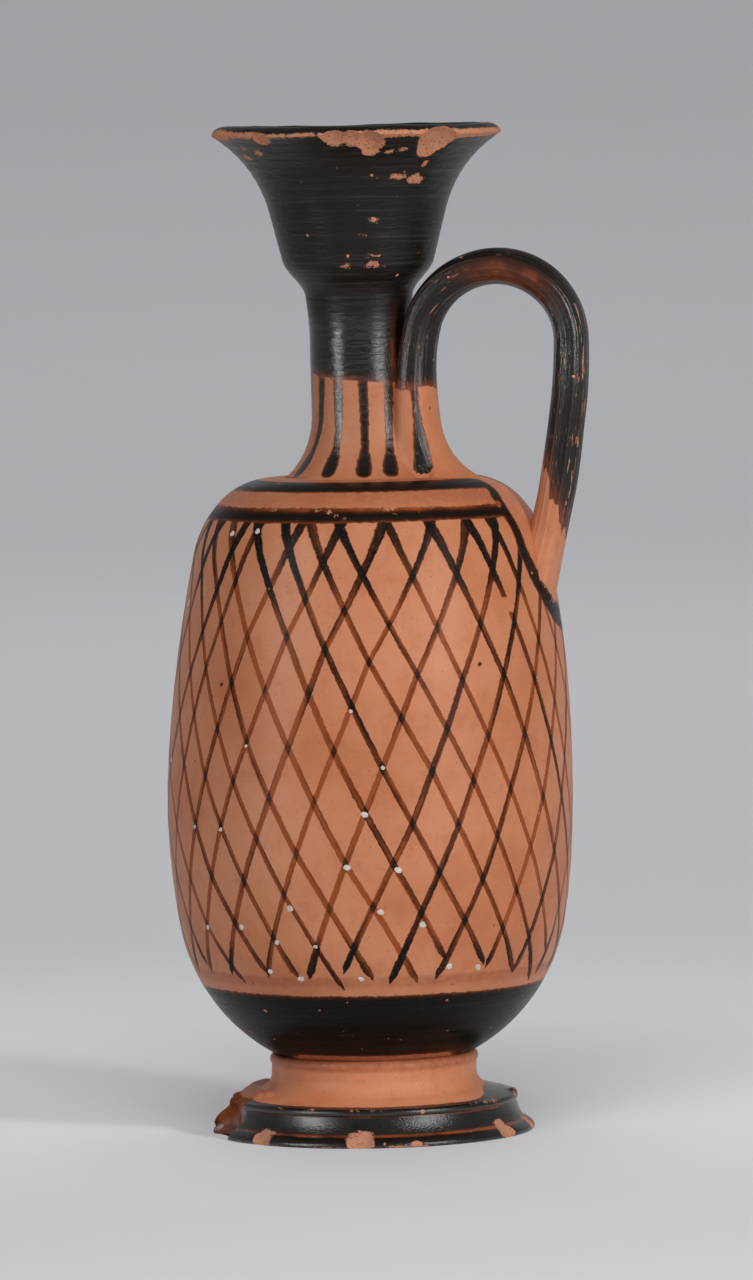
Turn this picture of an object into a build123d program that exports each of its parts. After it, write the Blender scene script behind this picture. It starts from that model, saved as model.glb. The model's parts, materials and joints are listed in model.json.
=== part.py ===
"""A lekythos, the slender Greek oil flask: five pieces of clay and the slip that lutes them.

Millimetres. +Z is up, the origin is on the axis in the plane that the foot rests on,
and the handle stands towards +X. Every thrown piece is turned about the Z axis.
"""

import os
from math import cos, radians, sin

from build123d import *

# Heights of the thrown pieces, and the slip in each joint between them
foot_height = 12.2
body_height = 91.4
neck_height = 28.0
mouth_height = 27.2
slip = 0.4
slip_setback = 0.4
slip_play = 0.05

# Foot: a disc with a bead above and below its edge, a stem and a ridge under the body
base_radius = 25.4
base_bead_radius = 1.1
rest_inner_radius = 19.6
edge_radius = 23.4
disc_radius = 22.9
disc_level = 5.8
disc_bead_height = 1.2
disc_bead_width = 0.7
disc_groove = 0.25
stem_radius = 16.3
stem_corner_level = 7.4
stem_fillet = 1.2
ridge_height = 1.6
hollow_radius = 11.0
hollow_level = 8.0
hollow_fillet = 3.0

# Body: radii and levels of the turned outline, from the foot's seat to the neck's seat
seat_radius = 15.75
belly_radius = 30.6
belly_level = 20.7
body_radius = 32.2
widest_level = 39.8
shoulder_radius = 28.2
shoulder_drop = 12.0
corner_radius = 24.0
corner_drop = 3.7
crown_radius = 17.5
crown_drop = 0.1
opening_radius = 5.6
body_wall = 3.0
floor_thickness = 3.2

# Neck: a tube with a straight bore, waisted near its top and flared at its base
bore_radius = 4.8
neck_radius = 7.95
waist_drop = 7.0
neck_top_radius = 8.45
flare_start_radius = 8.3
flare_height = 9.6
flare_radius = 12.6

# Mouth: a steep cup that flares out to a rolled lip
throat_radius = 5.2
throat_height = 1.2
cup_radius = 12.0
cup_corner_height = 5.6
cone_radius = 14.0
cone_height = 13.4
rim_radius = 22.9
lip_height = 1.5
lip_roll = 2.2
lip_inner_roll = 1.4
lip_inner_drop = 0.9
mouth_wall = 2.6

# Handle: a pulled strap that lies along the neck, loops out and runs down into the body
strap_width = 7.4
strap_thickness = 5.6
root_turn = 13.0
root_stand = 1.85
root_height = 8.1
root_tail_reach = 4.2
root_tail_drop = 1.9
root_tail_bury = 3.0
rise_lean = 1.5
rise_drop = 4.4
loop_span = 13.2
loop_rise = 4.8
handle_reach = 34.35
reach_drop = 7.1
leg_start_in = 1.05
leg_start_drop = 17.6
base_stand = 1.5
base_bury = 2.8
base_end_drop = 26.5

# Levels that follow from the heights
body_base = foot_height + slip
shoulder_level = body_base + body_height
neck_base = shoulder_level + slip
neck_top = neck_base + neck_height
mouth_base = neck_top + slip
rim_level = mouth_base + mouth_height

# Points of the body's and the neck's outlines, where one arc runs on into the next
seat_edge = Vector(seat_radius, body_base)
belly = Vector(belly_radius, body_base + belly_level)
widest = Vector(body_radius, body_base + widest_level)
shoulder = Vector(shoulder_radius, shoulder_level - shoulder_drop)
corner = Vector(corner_radius, shoulder_level - corner_drop)
crown = Vector(crown_radius, shoulder_level - crown_drop)
crown_edge = Vector(flare_radius, shoulder_level)
flare_edge = Vector(flare_radius, neck_base)
flare_start = Vector(flare_start_radius, neck_base + flare_height)
waist = Vector(neck_radius, neck_top - waist_drop)
neck_edge = Vector(neck_top_radius, neck_top)
UP = Vector(0, 1)
DOWN = Vector(0, -1)


def arc_chain(heading, points, shift=0.0):
    """Arcs that run smoothly through the points, all moved to the left by the shift.

    Returns the first and the last point of the moved chain.
    """
    ends = []
    for here, there in zip(points, points[1:]):
        chord = (there - here).normalized()
        next_heading = chord * (2 * heading.dot(chord)) - heading
        start = here + Vector(-heading.Y, heading.X) * shift
        end = there + Vector(-next_heading.Y, next_heading.X) * shift
        TangentArc(start, end, tangent=heading)
        ends += [start, end]
        heading = next_heading
    return ends[0], ends[-1]


def body_outline(inset=0.0):
    """The body's turned outline, set in from the outside; returns its lower and upper end."""
    low_end = arc_chain(DOWN, [widest, belly, seat_edge], -inset)[1]
    high_end = arc_chain(UP, [widest, shoulder, corner, crown, crown_edge], inset)[1]
    return low_end, high_end


def neck_outline(inset=0.0):
    """The neck's turned outline, set in from the outside; returns its lower and upper end."""
    low_end = arc_chain(DOWN, [waist, flare_start, flare_edge], -inset)[1]
    high_end = arc_chain(UP, [waist, neck_edge], inset)[1]
    return low_end, high_end


def filled_wall(growth):
    """Body and neck as one filled solid, grown outwards, to fit the handle's ends against."""
    with BuildPart() as wall:
        with BuildSketch(Plane.XZ):
            with BuildLine():
                low_end, high_end = body_outline(-growth)
                Polyline(low_end, (0, low_end.Y), (0, high_end.Y), high_end)
            make_face()
        revolve(axis=Axis.Z)
        with BuildSketch(Plane.XZ):
            with BuildLine():
                low_end, high_end = neck_outline(-growth)
                under_flare = (low_end.X, shoulder_level)
                Polyline(low_end, under_flare, (0, shoulder_level), (0, high_end.Y), high_end)
            make_face()
        revolve(axis=Axis.Z)
    return wall.part


def slip_ring(level, inner_radius, outer_radius):
    """A flat ring of slip, set back a little from both edges of its joint."""
    with BuildPart() as ring:
        with BuildSketch(Plane.XY.offset(level)):
            Circle(outer_radius - slip_setback)
            Circle(inner_radius + slip_setback, mode=Mode.SUBTRACT)
        extrude(amount=slip)
    return ring


# Foot, hollow underneath, standing on a flat ring
with BuildPart() as foot:
    with BuildSketch(Plane.XZ):
        with BuildLine():
            top = Line((hollow_radius, foot_height), (seat_radius, foot_height))
            ridge_foot = (stem_radius, foot_height - ridge_height)
            TangentArc(top @ 1, ridge_foot, tangent=(1, 0))
            disc_bead_top = (disc_radius - disc_bead_width, disc_level)
            FilletPolyline(
                ridge_foot,
                (stem_radius, stem_corner_level),
                disc_bead_top,
                radius=stem_fillet,
            )
            disc_bead_peak = (disc_radius, disc_level - disc_bead_height / 2)
            disc_bead_foot = (disc_radius - disc_groove, disc_level - disc_bead_height)
            ThreePointArc(disc_bead_top, disc_bead_peak, disc_bead_foot)
            bead_centre = (base_radius - base_bead_radius, base_bead_radius)
            base_bead = CenterArc(bead_centre, base_bead_radius, -90, 180)
            edge_foot = (edge_radius, 2 * base_bead_radius)
            Polyline(disc_bead_foot, edge_foot, base_bead @ 1)
            rest = Line(base_bead @ 0, (rest_inner_radius, 0))
            FilletPolyline(
                rest @ 1,
                (hollow_radius, hollow_level),
                top @ 0,
                radius=hollow_fillet,
            )
        make_face()
    revolve(axis=Axis.Z)

# Body: floor, wall and shoulder thrown as one, closed below and open under the neck
with BuildPart() as body:
    with BuildSketch(Plane.XZ):
        with BuildLine():
            outer_low, outer_high = body_outline()
            Line(outer_low, (0, body_base))
            inner_low, inner_high = body_outline(body_wall)
            Polyline(inner_low, (0, body_base + floor_thickness), (0, body_base))
            opening_edge = (opening_radius, shoulder_level)
            Polyline(inner_high, (opening_radius, inner_high.Y), opening_edge, outer_high)
        make_face()
    revolve(axis=Axis.Z)

# Neck: a tube that stands on the shoulder
with BuildPart() as neck:
    with BuildSketch(Plane.XZ):
        with BuildLine():
            low_end, high_end = neck_outline()
            Polyline(low_end, (bore_radius, neck_base), (bore_radius, neck_top), high_end)
        make_face()
    revolve(axis=Axis.Z)

# Mouth: the underside curves out from the neck, the cup rises and flares to a rolled lip
with BuildPart() as mouth:
    with BuildSketch(Plane.XZ):
        with BuildLine():
            cup_corner = Vector(cup_radius, mouth_base + cup_corner_height)
            cone_top = Vector(cone_radius, mouth_base + cone_height)
            cone = Line(cup_corner, cone_top)
            underside_start = Vector(neck_top_radius, mouth_base)
            Spline(underside_start, cup_corner, tangents=(UP, cone % 0))
            lip_edge = Vector(rim_radius, rim_level - lip_height)
            TangentArc(cone_top, lip_edge, tangent=cone % 1)
            lip_crest = Vector(rim_radius - lip_roll, rim_level)
            lip_centre = (lip_crest.X, lip_edge.Y)
            EllipticalCenterArc(lip_centre, lip_roll, lip_height, 0, arc_size=90)
            lip_inside = lip_crest - Vector(lip_inner_roll, lip_inner_drop)
            inner_cone = Line(cup_corner - (mouth_wall, 0), cone_top - (mouth_wall, 0))
            flare = TangentArc(inner_cone @ 1, lip_inside, tangent=inner_cone % 1)
            Spline(lip_inside, lip_crest, tangents=(flare % 1, (1, 0)))
            throat_top = Vector(throat_radius, mouth_base + throat_height)
            Spline(throat_top, inner_cone @ 0, tangents=(UP, inner_cone % 0))
            Polyline(throat_top, (throat_radius, mouth_base), underside_start)
        make_face()
    revolve(axis=Axis.Z)

# The handle's upright plane: its root is turned round the neck, its base is towards +X
root_radius = neck_radius + root_stand
root_place = Vector(cos(radians(root_turn)), -sin(radians(root_turn))) * root_radius
base_place = Vector(shoulder_radius + base_stand, 0)
outward = (base_place - root_place).normalized()
plane_origin = base_place - outward * base_place.X
handle_plane = Plane(plane_origin, x_dir=outward, z_dir=outward.cross(Vector(0, 0, 1)))

# Points of the strap's middle line, as distance out from the axis and level
root = Vector(root_radius, neck_base + root_height)
root_tail = Vector(root_radius + root_tail_reach, neck_base - root_tail_drop)
rise = Vector(root_radius + rise_lean, neck_top - rise_drop)
loop_top = Vector(root_radius + loop_span, neck_top + loop_rise)
farthest = Vector(handle_reach, neck_top - reach_drop)
leg_start = Vector(handle_reach - leg_start_in, neck_top - leg_start_drop)
base_end = Vector(shoulder_radius - base_bury, shoulder_level - base_end_drop)


def strap():
    """The whole strap, with both its ends still running on into the neck and the body."""
    with BuildPart() as whole:
        with BuildLine(Plane.XY) as flat_path:
            arc_chain(UP, [root, rise, loop_top, farthest, leg_start, base_end])
            tail = TangentArc(root, root_tail, tangent=DOWN)
            Line(root_tail, root_tail + (tail % 1) * root_tail_bury)
        path = handle_plane.from_local_coords(flat_path.wire())
        section = Plane(path @ 0, x_dir=handle_plane.z_dir, z_dir=path % 0)
        with BuildSketch(section):
            Ellipse(strap_width / 2, strap_thickness / 2)
        sweep(path=path)
    return whole.part


# Handle: its ends are pressed to the curve of the neck and of the body
with BuildPart() as handle:
    add(strap())
    add(filled_wall(slip), mode=Mode.SUBTRACT)

# Slip pads under the handle's two ends
with BuildPart() as handle_pads:
    add(strap())
    add(filled_wall(slip - slip_play), mode=Mode.INTERSECT)
    add(filled_wall(slip_play), mode=Mode.SUBTRACT)
with BuildPart() as handle_base_luting:
    add(handle_pads.solids().sort_by(Axis.Z)[0])
with BuildPart() as handle_root_luting:
    add(handle_pads.solids().sort_by(Axis.Z)[-1])

# Slip rings in the three turned joints
foot_luting = slip_ring(foot_height, hollow_radius, seat_radius)
neck_luting = slip_ring(shoulder_level, opening_radius, flare_radius)
mouth_luting = slip_ring(neck_top, throat_radius, neck_top_radius)

pieces = {
    "foot": foot,
    "body": body,
    "neck": neck,
    "mouth": mouth,
    "handle": handle,
    "foot_luting": foot_luting,
    "neck_luting": neck_luting,
    "mouth_luting": mouth_luting,
    "handle_root_luting": handle_root_luting,
    "handle_base_luting": handle_base_luting,
}
os.makedirs("parts", exist_ok=True)
for name, piece in pieces.items():
    piece.part.label = name
    export_step(piece.part, f"parts/{name}.step")
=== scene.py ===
"""Dresses a lekythos, a Greek oil flask with a painted net, over the frame of its clay pieces.

Sizes are in millimetres and meshes in metres. A level is a height above the plane that the foot
stands on. A front angle goes round the axis in degrees, from the camera's side towards the handle.
"""

import json
import logging
from dataclasses import dataclass
from enum import Enum
from math import cos, degrees, pi, radians, sin, tau

import bpy
import numpy as np
from bpy.types import Material, Mesh, Node, NodeOutputs, NodeTree, Object
from bpy.types import NodeSocket as Socket
from mathutils import Matrix, Vector, noise

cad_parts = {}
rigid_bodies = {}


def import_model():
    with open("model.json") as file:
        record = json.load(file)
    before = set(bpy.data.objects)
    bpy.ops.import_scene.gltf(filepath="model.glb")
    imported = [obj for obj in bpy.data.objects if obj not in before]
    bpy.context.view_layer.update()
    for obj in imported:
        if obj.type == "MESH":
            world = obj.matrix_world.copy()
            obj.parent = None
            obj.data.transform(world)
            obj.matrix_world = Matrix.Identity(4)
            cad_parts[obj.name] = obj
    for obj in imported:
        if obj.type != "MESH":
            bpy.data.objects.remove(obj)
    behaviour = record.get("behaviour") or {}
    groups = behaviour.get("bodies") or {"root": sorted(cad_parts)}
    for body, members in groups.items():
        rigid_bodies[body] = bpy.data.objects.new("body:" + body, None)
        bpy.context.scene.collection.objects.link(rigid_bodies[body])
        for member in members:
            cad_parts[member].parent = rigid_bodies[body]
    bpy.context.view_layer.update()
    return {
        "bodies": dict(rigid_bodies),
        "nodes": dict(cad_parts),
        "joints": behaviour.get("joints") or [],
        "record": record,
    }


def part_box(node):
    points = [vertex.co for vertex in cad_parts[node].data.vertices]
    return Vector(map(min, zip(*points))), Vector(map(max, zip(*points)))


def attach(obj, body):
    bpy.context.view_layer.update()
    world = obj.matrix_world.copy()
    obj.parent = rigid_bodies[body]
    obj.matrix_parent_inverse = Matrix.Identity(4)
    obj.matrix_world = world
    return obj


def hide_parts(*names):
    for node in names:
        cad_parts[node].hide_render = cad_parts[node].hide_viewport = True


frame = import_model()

LOG = logging.getLogger("lekythos")
MM = 0.001
BODY = "root"

# The camera's side of the flask, as a turn about the axis from +X, where the handle is
FRONT_TURN = -75.0
RIGHT = np.array([cos(radians(FRONT_TURN + 90)), sin(radians(FRONT_TURN + 90)), 0.0])
HANDLE_ANGLE = -FRONT_TURN

UP = (0.0, 1.0)
DOWN = (0.0, -1.0)
Array = np.ndarray
Pair = tuple[float, float]
Point = Pair | Array
Pairs = tuple[Pair, ...]
Triples = tuple[tuple[float, float, float], ...]
Colour = tuple[float, float, float, float]


class Mark(Enum):
    """What is painted on a point or worn from it."""

    GLOSS = "gloss"
    THIN = "thin"
    WASH = "wash"
    BARE = "bare"
    DULL = "dull"


class Streaks(Enum):
    """Which way the brush and the hand went."""

    ROUND = "round"
    ALONG = "along"


FAR = -9.0
MARK_START = {Mark.GLOSS: FAR, Mark.THIN: 0.0, Mark.WASH: 0.0, Mark.BARE: FAR, Mark.DULL: 0.0}


def span(node: str) -> Pair:
    """The lowest and highest level of a node."""
    low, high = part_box(node)
    return low.z / MM, high.z / MM


# The levels at which the pieces meet, over or under the slip in their joints
BODY_BASE = span("foot_luting")[1]
SHOULDER, NECK_BASE = span("neck_luting")
NECK_TOP, MOUTH_BASE = span("mouth_luting")


def ease(value: Array, low: float, high: float) -> Array:
    """A smooth rise from 0 at low to 1 at high."""
    part = np.clip((np.asarray(value, float) - low) / (high - low), 0, 1)
    return part * part * (3 - 2 * part)


def hump(value: Array, start: float, full: float, fading: float, end: float) -> Array:
    """A smooth rise from 0 at start to 1 at full, and a fall from 1 at fading to 0 at end."""
    return ease(value, start, full) * ease(-value, -end, -fading)


def turn_from(angle: Array, start: float | Array) -> Array:
    """Angles counted from another one, from -180 to 180 degrees."""
    return (angle - start + 180) % 360 - 180


def wander(angle: Array, seed: int, size: float) -> Array:
    """A hand's drift from a true circle at front angles, of a size in millimetres."""
    draw = np.random.default_rng(seed)
    waves = np.array([1, 2, 3, 5, 8, 13, 19])
    starts = draw.uniform(0, tau, len(waves))
    turns = np.radians(np.asarray(angle))[..., None] * waves + starts
    return size * (np.sin(turns) / waves ** 0.6).sum(-1) / 2


def rough(points: Array, grain: float, seed: float = 0.0) -> Array:
    """Noise between about -1 and 1 at points in millimetres, with lumps of the grain's size."""
    return np.array([noise.noise(Vector(point / grain) + Vector((seed, seed, 0))) for point in points])


@dataclass(frozen=True)
class Stance:
    """How the flask stands: it isn't quite straight. A pair holds two levels that a lean eases between."""

    shoulder_lean: float = 1.08
    shoulder_from: Pair = (40, 90)
    neck_back: Pair = (100, 125)
    foot_lean: float = -0.15
    foot_until: Pair = (0, 8)
    belly_lean: float = 0.2
    belly_from: Pair = (4, 20)
    belly_back: Pair = (40, 60)

    def aside(self, level: Array) -> Array:
        """How far the flask stands to the right of its axis at each level."""
        shoulder = self.shoulder_lean * ease(level, *self.shoulder_from) * (1 - ease(level, *self.neck_back))
        foot = self.foot_lean * (1 - ease(level, *self.foot_until))
        belly = self.belly_lean * ease(level, *self.belly_from) * (1 - ease(level, *self.belly_back))
        return shoulder + foot + belly


STANCE = Stance()


def unit(way: Point) -> Array:
    """A direction of length one."""
    return np.array(way) / np.hypot(*way)


def turned(way: Array, turn: float) -> Array:
    """A direction turned to the left by an angle in radians."""
    return way @ np.array([[cos(turn), sin(turn)], [-sin(turn), cos(turn)]])


def normals(line: Array) -> Array:
    """The unit ways to the right of an outline's run."""
    run = np.gradient(line, axis=0)
    return np.stack([run[:, 1], -run[:, 0]], 1) / np.hypot(*run.T)[:, None]


def resample(knots: Array, count: int) -> Array:
    """A chain of knots drawn again with a count of points, as many between each two knots."""
    share, at = np.linspace(0, 1, count), np.linspace(0, 1, len(knots))
    return np.stack([np.interp(share, at, column) for column in knots.T], 1)


def read_all(items: bpy.types.bpy_prop_collection, name: str, kind: type, width: int = 1) -> Array:
    """One property of every item of a mesh, flat or in rows of a width."""
    flat = np.empty(len(items) * width, kind)
    items.foreach_get(name, flat)
    return flat.reshape(-1, width) if width > 1 else flat


class Outline:
    """A turned outline, drawn on from its first point as radius and level."""

    def __init__(self, start: Point, step: float) -> None:
        """Starts at a point, with samples about a step apart."""
        self.points = [np.array(start, float)]
        self.step = step
        self.heading = np.array(UP)

    def _steps(self, length: float) -> Array:
        """Shares of a run at which it is sampled, without its start."""
        count = max(1, round(length / self.step))
        return np.arange(1, count + 1) / count

    def line(self, *ends: Point) -> "Outline":
        """Draws straight runs to each end in turn."""
        for end in ends:
            here = self.points[-1]
            run = np.array(end) - here
            length = np.hypot(*run)
            self.points += [here + run * share for share in self._steps(length)]
            self.heading = run / length
        return self

    def arc(self, *ends: Point, heading: Point | None = None) -> "Outline":
        """Draws arcs to each end in turn, running smoothly on from one to the next.

        Args:
            ends: where the arcs end.
            heading: the direction that the first arc starts in, if it isn't the last run's.

        Returns:
            The outline itself.
        """
        if heading is not None:
            self.heading = unit(heading)
        for end in ends:
            here, way = self.points[-1], self.heading
            chord = np.array(end) - here
            length = np.hypot(*chord)
            half = np.arctan2(way[0] * chord[1] - way[1] * chord[0], way @ chord)
            for share in self._steps(length * half / np.sin(half) if half else length):
                turn = half * share
                reach = length * (np.sin(turn) / np.sin(half) if half else share)
                self.points.append(here + turned(way, turn) * reach)
            self.heading = turned(way, 2 * half)
        return self

    def curve(self, end: Point, leaving: Point, heading: Point | None = None) -> "Outline":
        """Draws one smooth curve to an end, which it leaves in the given direction."""
        here, there = self.points[-1], np.array(end, float)
        length = np.hypot(*(there - here))
        way = unit(heading) if heading is not None else self.heading
        out = unit(leaving)
        for t in self._steps(length):
            start = (2 * t ** 3 - 3 * t ** 2 + 1) * here + (t ** 3 - 2 * t ** 2 + t) * length * way
            self.points.append(start + (3 * t ** 2 - 2 * t ** 3) * there + (t ** 3 - t ** 2) * length * out)
        self.heading = out
        return self

    def array(self) -> Array:
        """The points, one row each."""
        return np.array(self.points)


class Graph:
    """Adds and links the nodes of one tree."""

    def __init__(self, tree: NodeTree) -> None:
        """Works on a tree."""
        self.tree = tree

    def add(self, kind: str, inputs: dict | None = None, **settings: object) -> Node:
        """Adds a node.

        Args:
            kind: the node's type.
            inputs: its input sockets by name or number, each a value or a socket to link from.
            settings: its properties.

        Returns:
            The new node.
        """
        node = self.tree.nodes.new(kind)
        for name, value in settings.items():
            setattr(node, name, value)
        for name, value in (inputs or {}).items():
            self.put(node.inputs[name], value)
        return node

    def make(self, kind: str, inputs: dict | None = None, **settings: object) -> Socket:
        """Adds a node and gives its first output."""
        return self.add(kind, inputs, **settings).outputs[0]

    def put(self, socket: Socket, value: object) -> None:
        """Links an input from a socket, or sets it to a value."""
        if isinstance(value, Socket):
            self.tree.links.new(value, socket)
        else:
            socket.default_value = value

    def math(self, operation: str, *values: object, clamp: bool = False) -> Socket:
        """A sum on numbers or sockets."""
        return self.make("ShaderNodeMath", dict(enumerate(values)), operation=operation, use_clamp=clamp)

    def times(self, value: object, other: object) -> Socket:
        """A product of two numbers or sockets."""
        return self.math("MULTIPLY", value, other)

    def vector(self, operation: str, *values: object) -> Socket:
        """A sum on vectors or sockets."""
        return self.make("ShaderNodeVectorMath", dict(enumerate(values)), operation=operation)

    def step(self, value: Socket, low: float, high: float, first: float = 0.0, last: float = 1.0) -> Socket:
        """A smooth change from first to last as the value goes from low to high."""
        inputs = {"Value": value, "From Min": low, "From Max": high, "To Min": first, "To Max": last}
        return self.make("ShaderNodeMapRange", inputs, interpolation_type="SMOOTHSTEP")

    def mix(self, share: object, base: object, over: object, blend: str = "MIX") -> Socket:
        """One colour laid over another."""
        inputs = {0: share, 6: base, 7: over}
        return self.add("ShaderNodeMix", inputs, data_type="RGBA", blend_type=blend).outputs[2]

    def between(self, share: object, base: object, over: object) -> Socket:
        """A number between two others."""
        return self.make("ShaderNodeMix", {0: share, 2: base, 3: over})

    def stir(self, texture: Socket, size: float, base: object) -> Socket:
        """A number unsettled by a texture to either side of its middle."""
        return self.math("MULTIPLY_ADD", self.math("SUBTRACT", texture, 0.5), size, base)

    def place(self) -> Socket:
        """Where a point lies on its object."""
        return self.add("ShaderNodeTexCoord").outputs["Object"]

    def split(self, vector: Socket) -> NodeOutputs:
        """A vector's three numbers."""
        return self.add("ShaderNodeSeparateXYZ", {0: vector}).outputs

    def join(self, x: object, y: object, z: object) -> Socket:
        """A vector of three numbers."""
        return self.make("ShaderNodeCombineXYZ", {0: x, 1: y, 2: z})

    def cells(self, place: Socket, scale: float) -> tuple[Socket, Socket]:
        """The distance to the nearest of scattered spots, and that spot's own chance from 0 to 1."""
        spots = self.add("ShaderNodeTexVoronoi", {"Vector": place, "Scale": scale, "Randomness": 1.0}).outputs
        chance = self.make("ShaderNodeSeparateColor", {0: spots["Color"]})
        return spots["Distance"], chance

    def dress(self, node: Node, **inputs: object) -> None:
        """Sets a node's inputs, named with underscores, to sockets or values."""
        for name, value in inputs.items():
            self.put(node.inputs[name.replace("_", " ")], value)

    def shaped(self, kind: str, shape: Socket, **inputs: object) -> Socket:
        """A geometry that a geometry node has worked on."""
        node = self.add(f"GeometryNode{kind}", {"Geometry": shape})
        self.dress(node, **inputs)
        return node.outputs[0]

    def bump(self, height: Socket, depth: float) -> Socket:
        """Normals roughened by a height, at a depth in millimetres."""
        return self.make("ShaderNodeBump", {"Strength": 1.0, "Distance": depth * MM, "Height": height})

    def noise(self, place: Socket, scale: float, detail: float = 2.0, roughness: float = 0.5) -> Socket:
        """Soft noise from 0 to 1 with lumps of about one over the scale."""
        inputs = {"Vector": place, "Scale": scale, "Detail": detail, "Roughness": roughness}
        return self.make("ShaderNodeTexNoise", inputs)

    def read(self, name: str, output: str = "Fac") -> Socket:
        """An attribute of the mesh."""
        return self.add("ShaderNodeAttribute", attribute_name=name).outputs[output]

    def ramp(self, value: Socket, stops: dict[float, Colour]) -> Socket:
        """A colour that follows a value through the given stops."""
        node = self.add("ShaderNodeValToRGB", {0: value})
        elements = node.color_ramp.elements
        while len(elements) < len(stops):
            elements.new(0.5)
        for element, (place, colour) in zip(elements, sorted(stops.items())):
            element.position = place
            element.color = colour
        return node.outputs[0]


def new_material(name: str) -> tuple[Material, Graph, Node]:
    """A material with its graph and its main shader."""
    material = bpy.data.materials.new(name)
    material.use_nodes = True
    return material, Graph(material.node_tree), material.node_tree.nodes["Principled BSDF"]


# Gloss slip from its thinnest wash to its full black
SLIP_TONES: dict[float, Colour] = {
    0.0: (0.300, 0.072, 0.021, 1),
    0.35: (0.152, 0.036, 0.010, 1),
    0.65: (0.046, 0.0130, 0.0050, 1),
    1.0: (0.0078, 0.0064, 0.0050, 1),
}
NET_PERIOD = 10.0
# Scales of the streaks' noise, and of the finer lines and longer hairs on top of it
STREAK_SCALES = {
    Streaks.ROUND: ((26, 26, 900), (18.0, 18.0, 2.6), (1.6, 1.6, 3.0)),
    Streaks.ALONG: ((0.07, 5.0, 5.0), (6.0, 2.4, 2.4), (1.6, 2.4, 2.4)),
}
# How far fine noise, grit, blotches and lines unsettle the edge of a chip
RAGGED_BY = {Streaks.ROUND: (1.2, 0.9, 0.8, 0.4), Streaks.ALONG: (0.6, 0.5, 0.5, 2.4)}


@dataclass(frozen=True)
class Textures:
    """A point's place, and the noises there that a clay's colour and relief are made of."""

    place: Socket
    cloud: Socket
    blotch: Socket
    fine: Socket
    grit: Socket
    streak: Socket
    line: Socket
    hair: Socket


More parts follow.
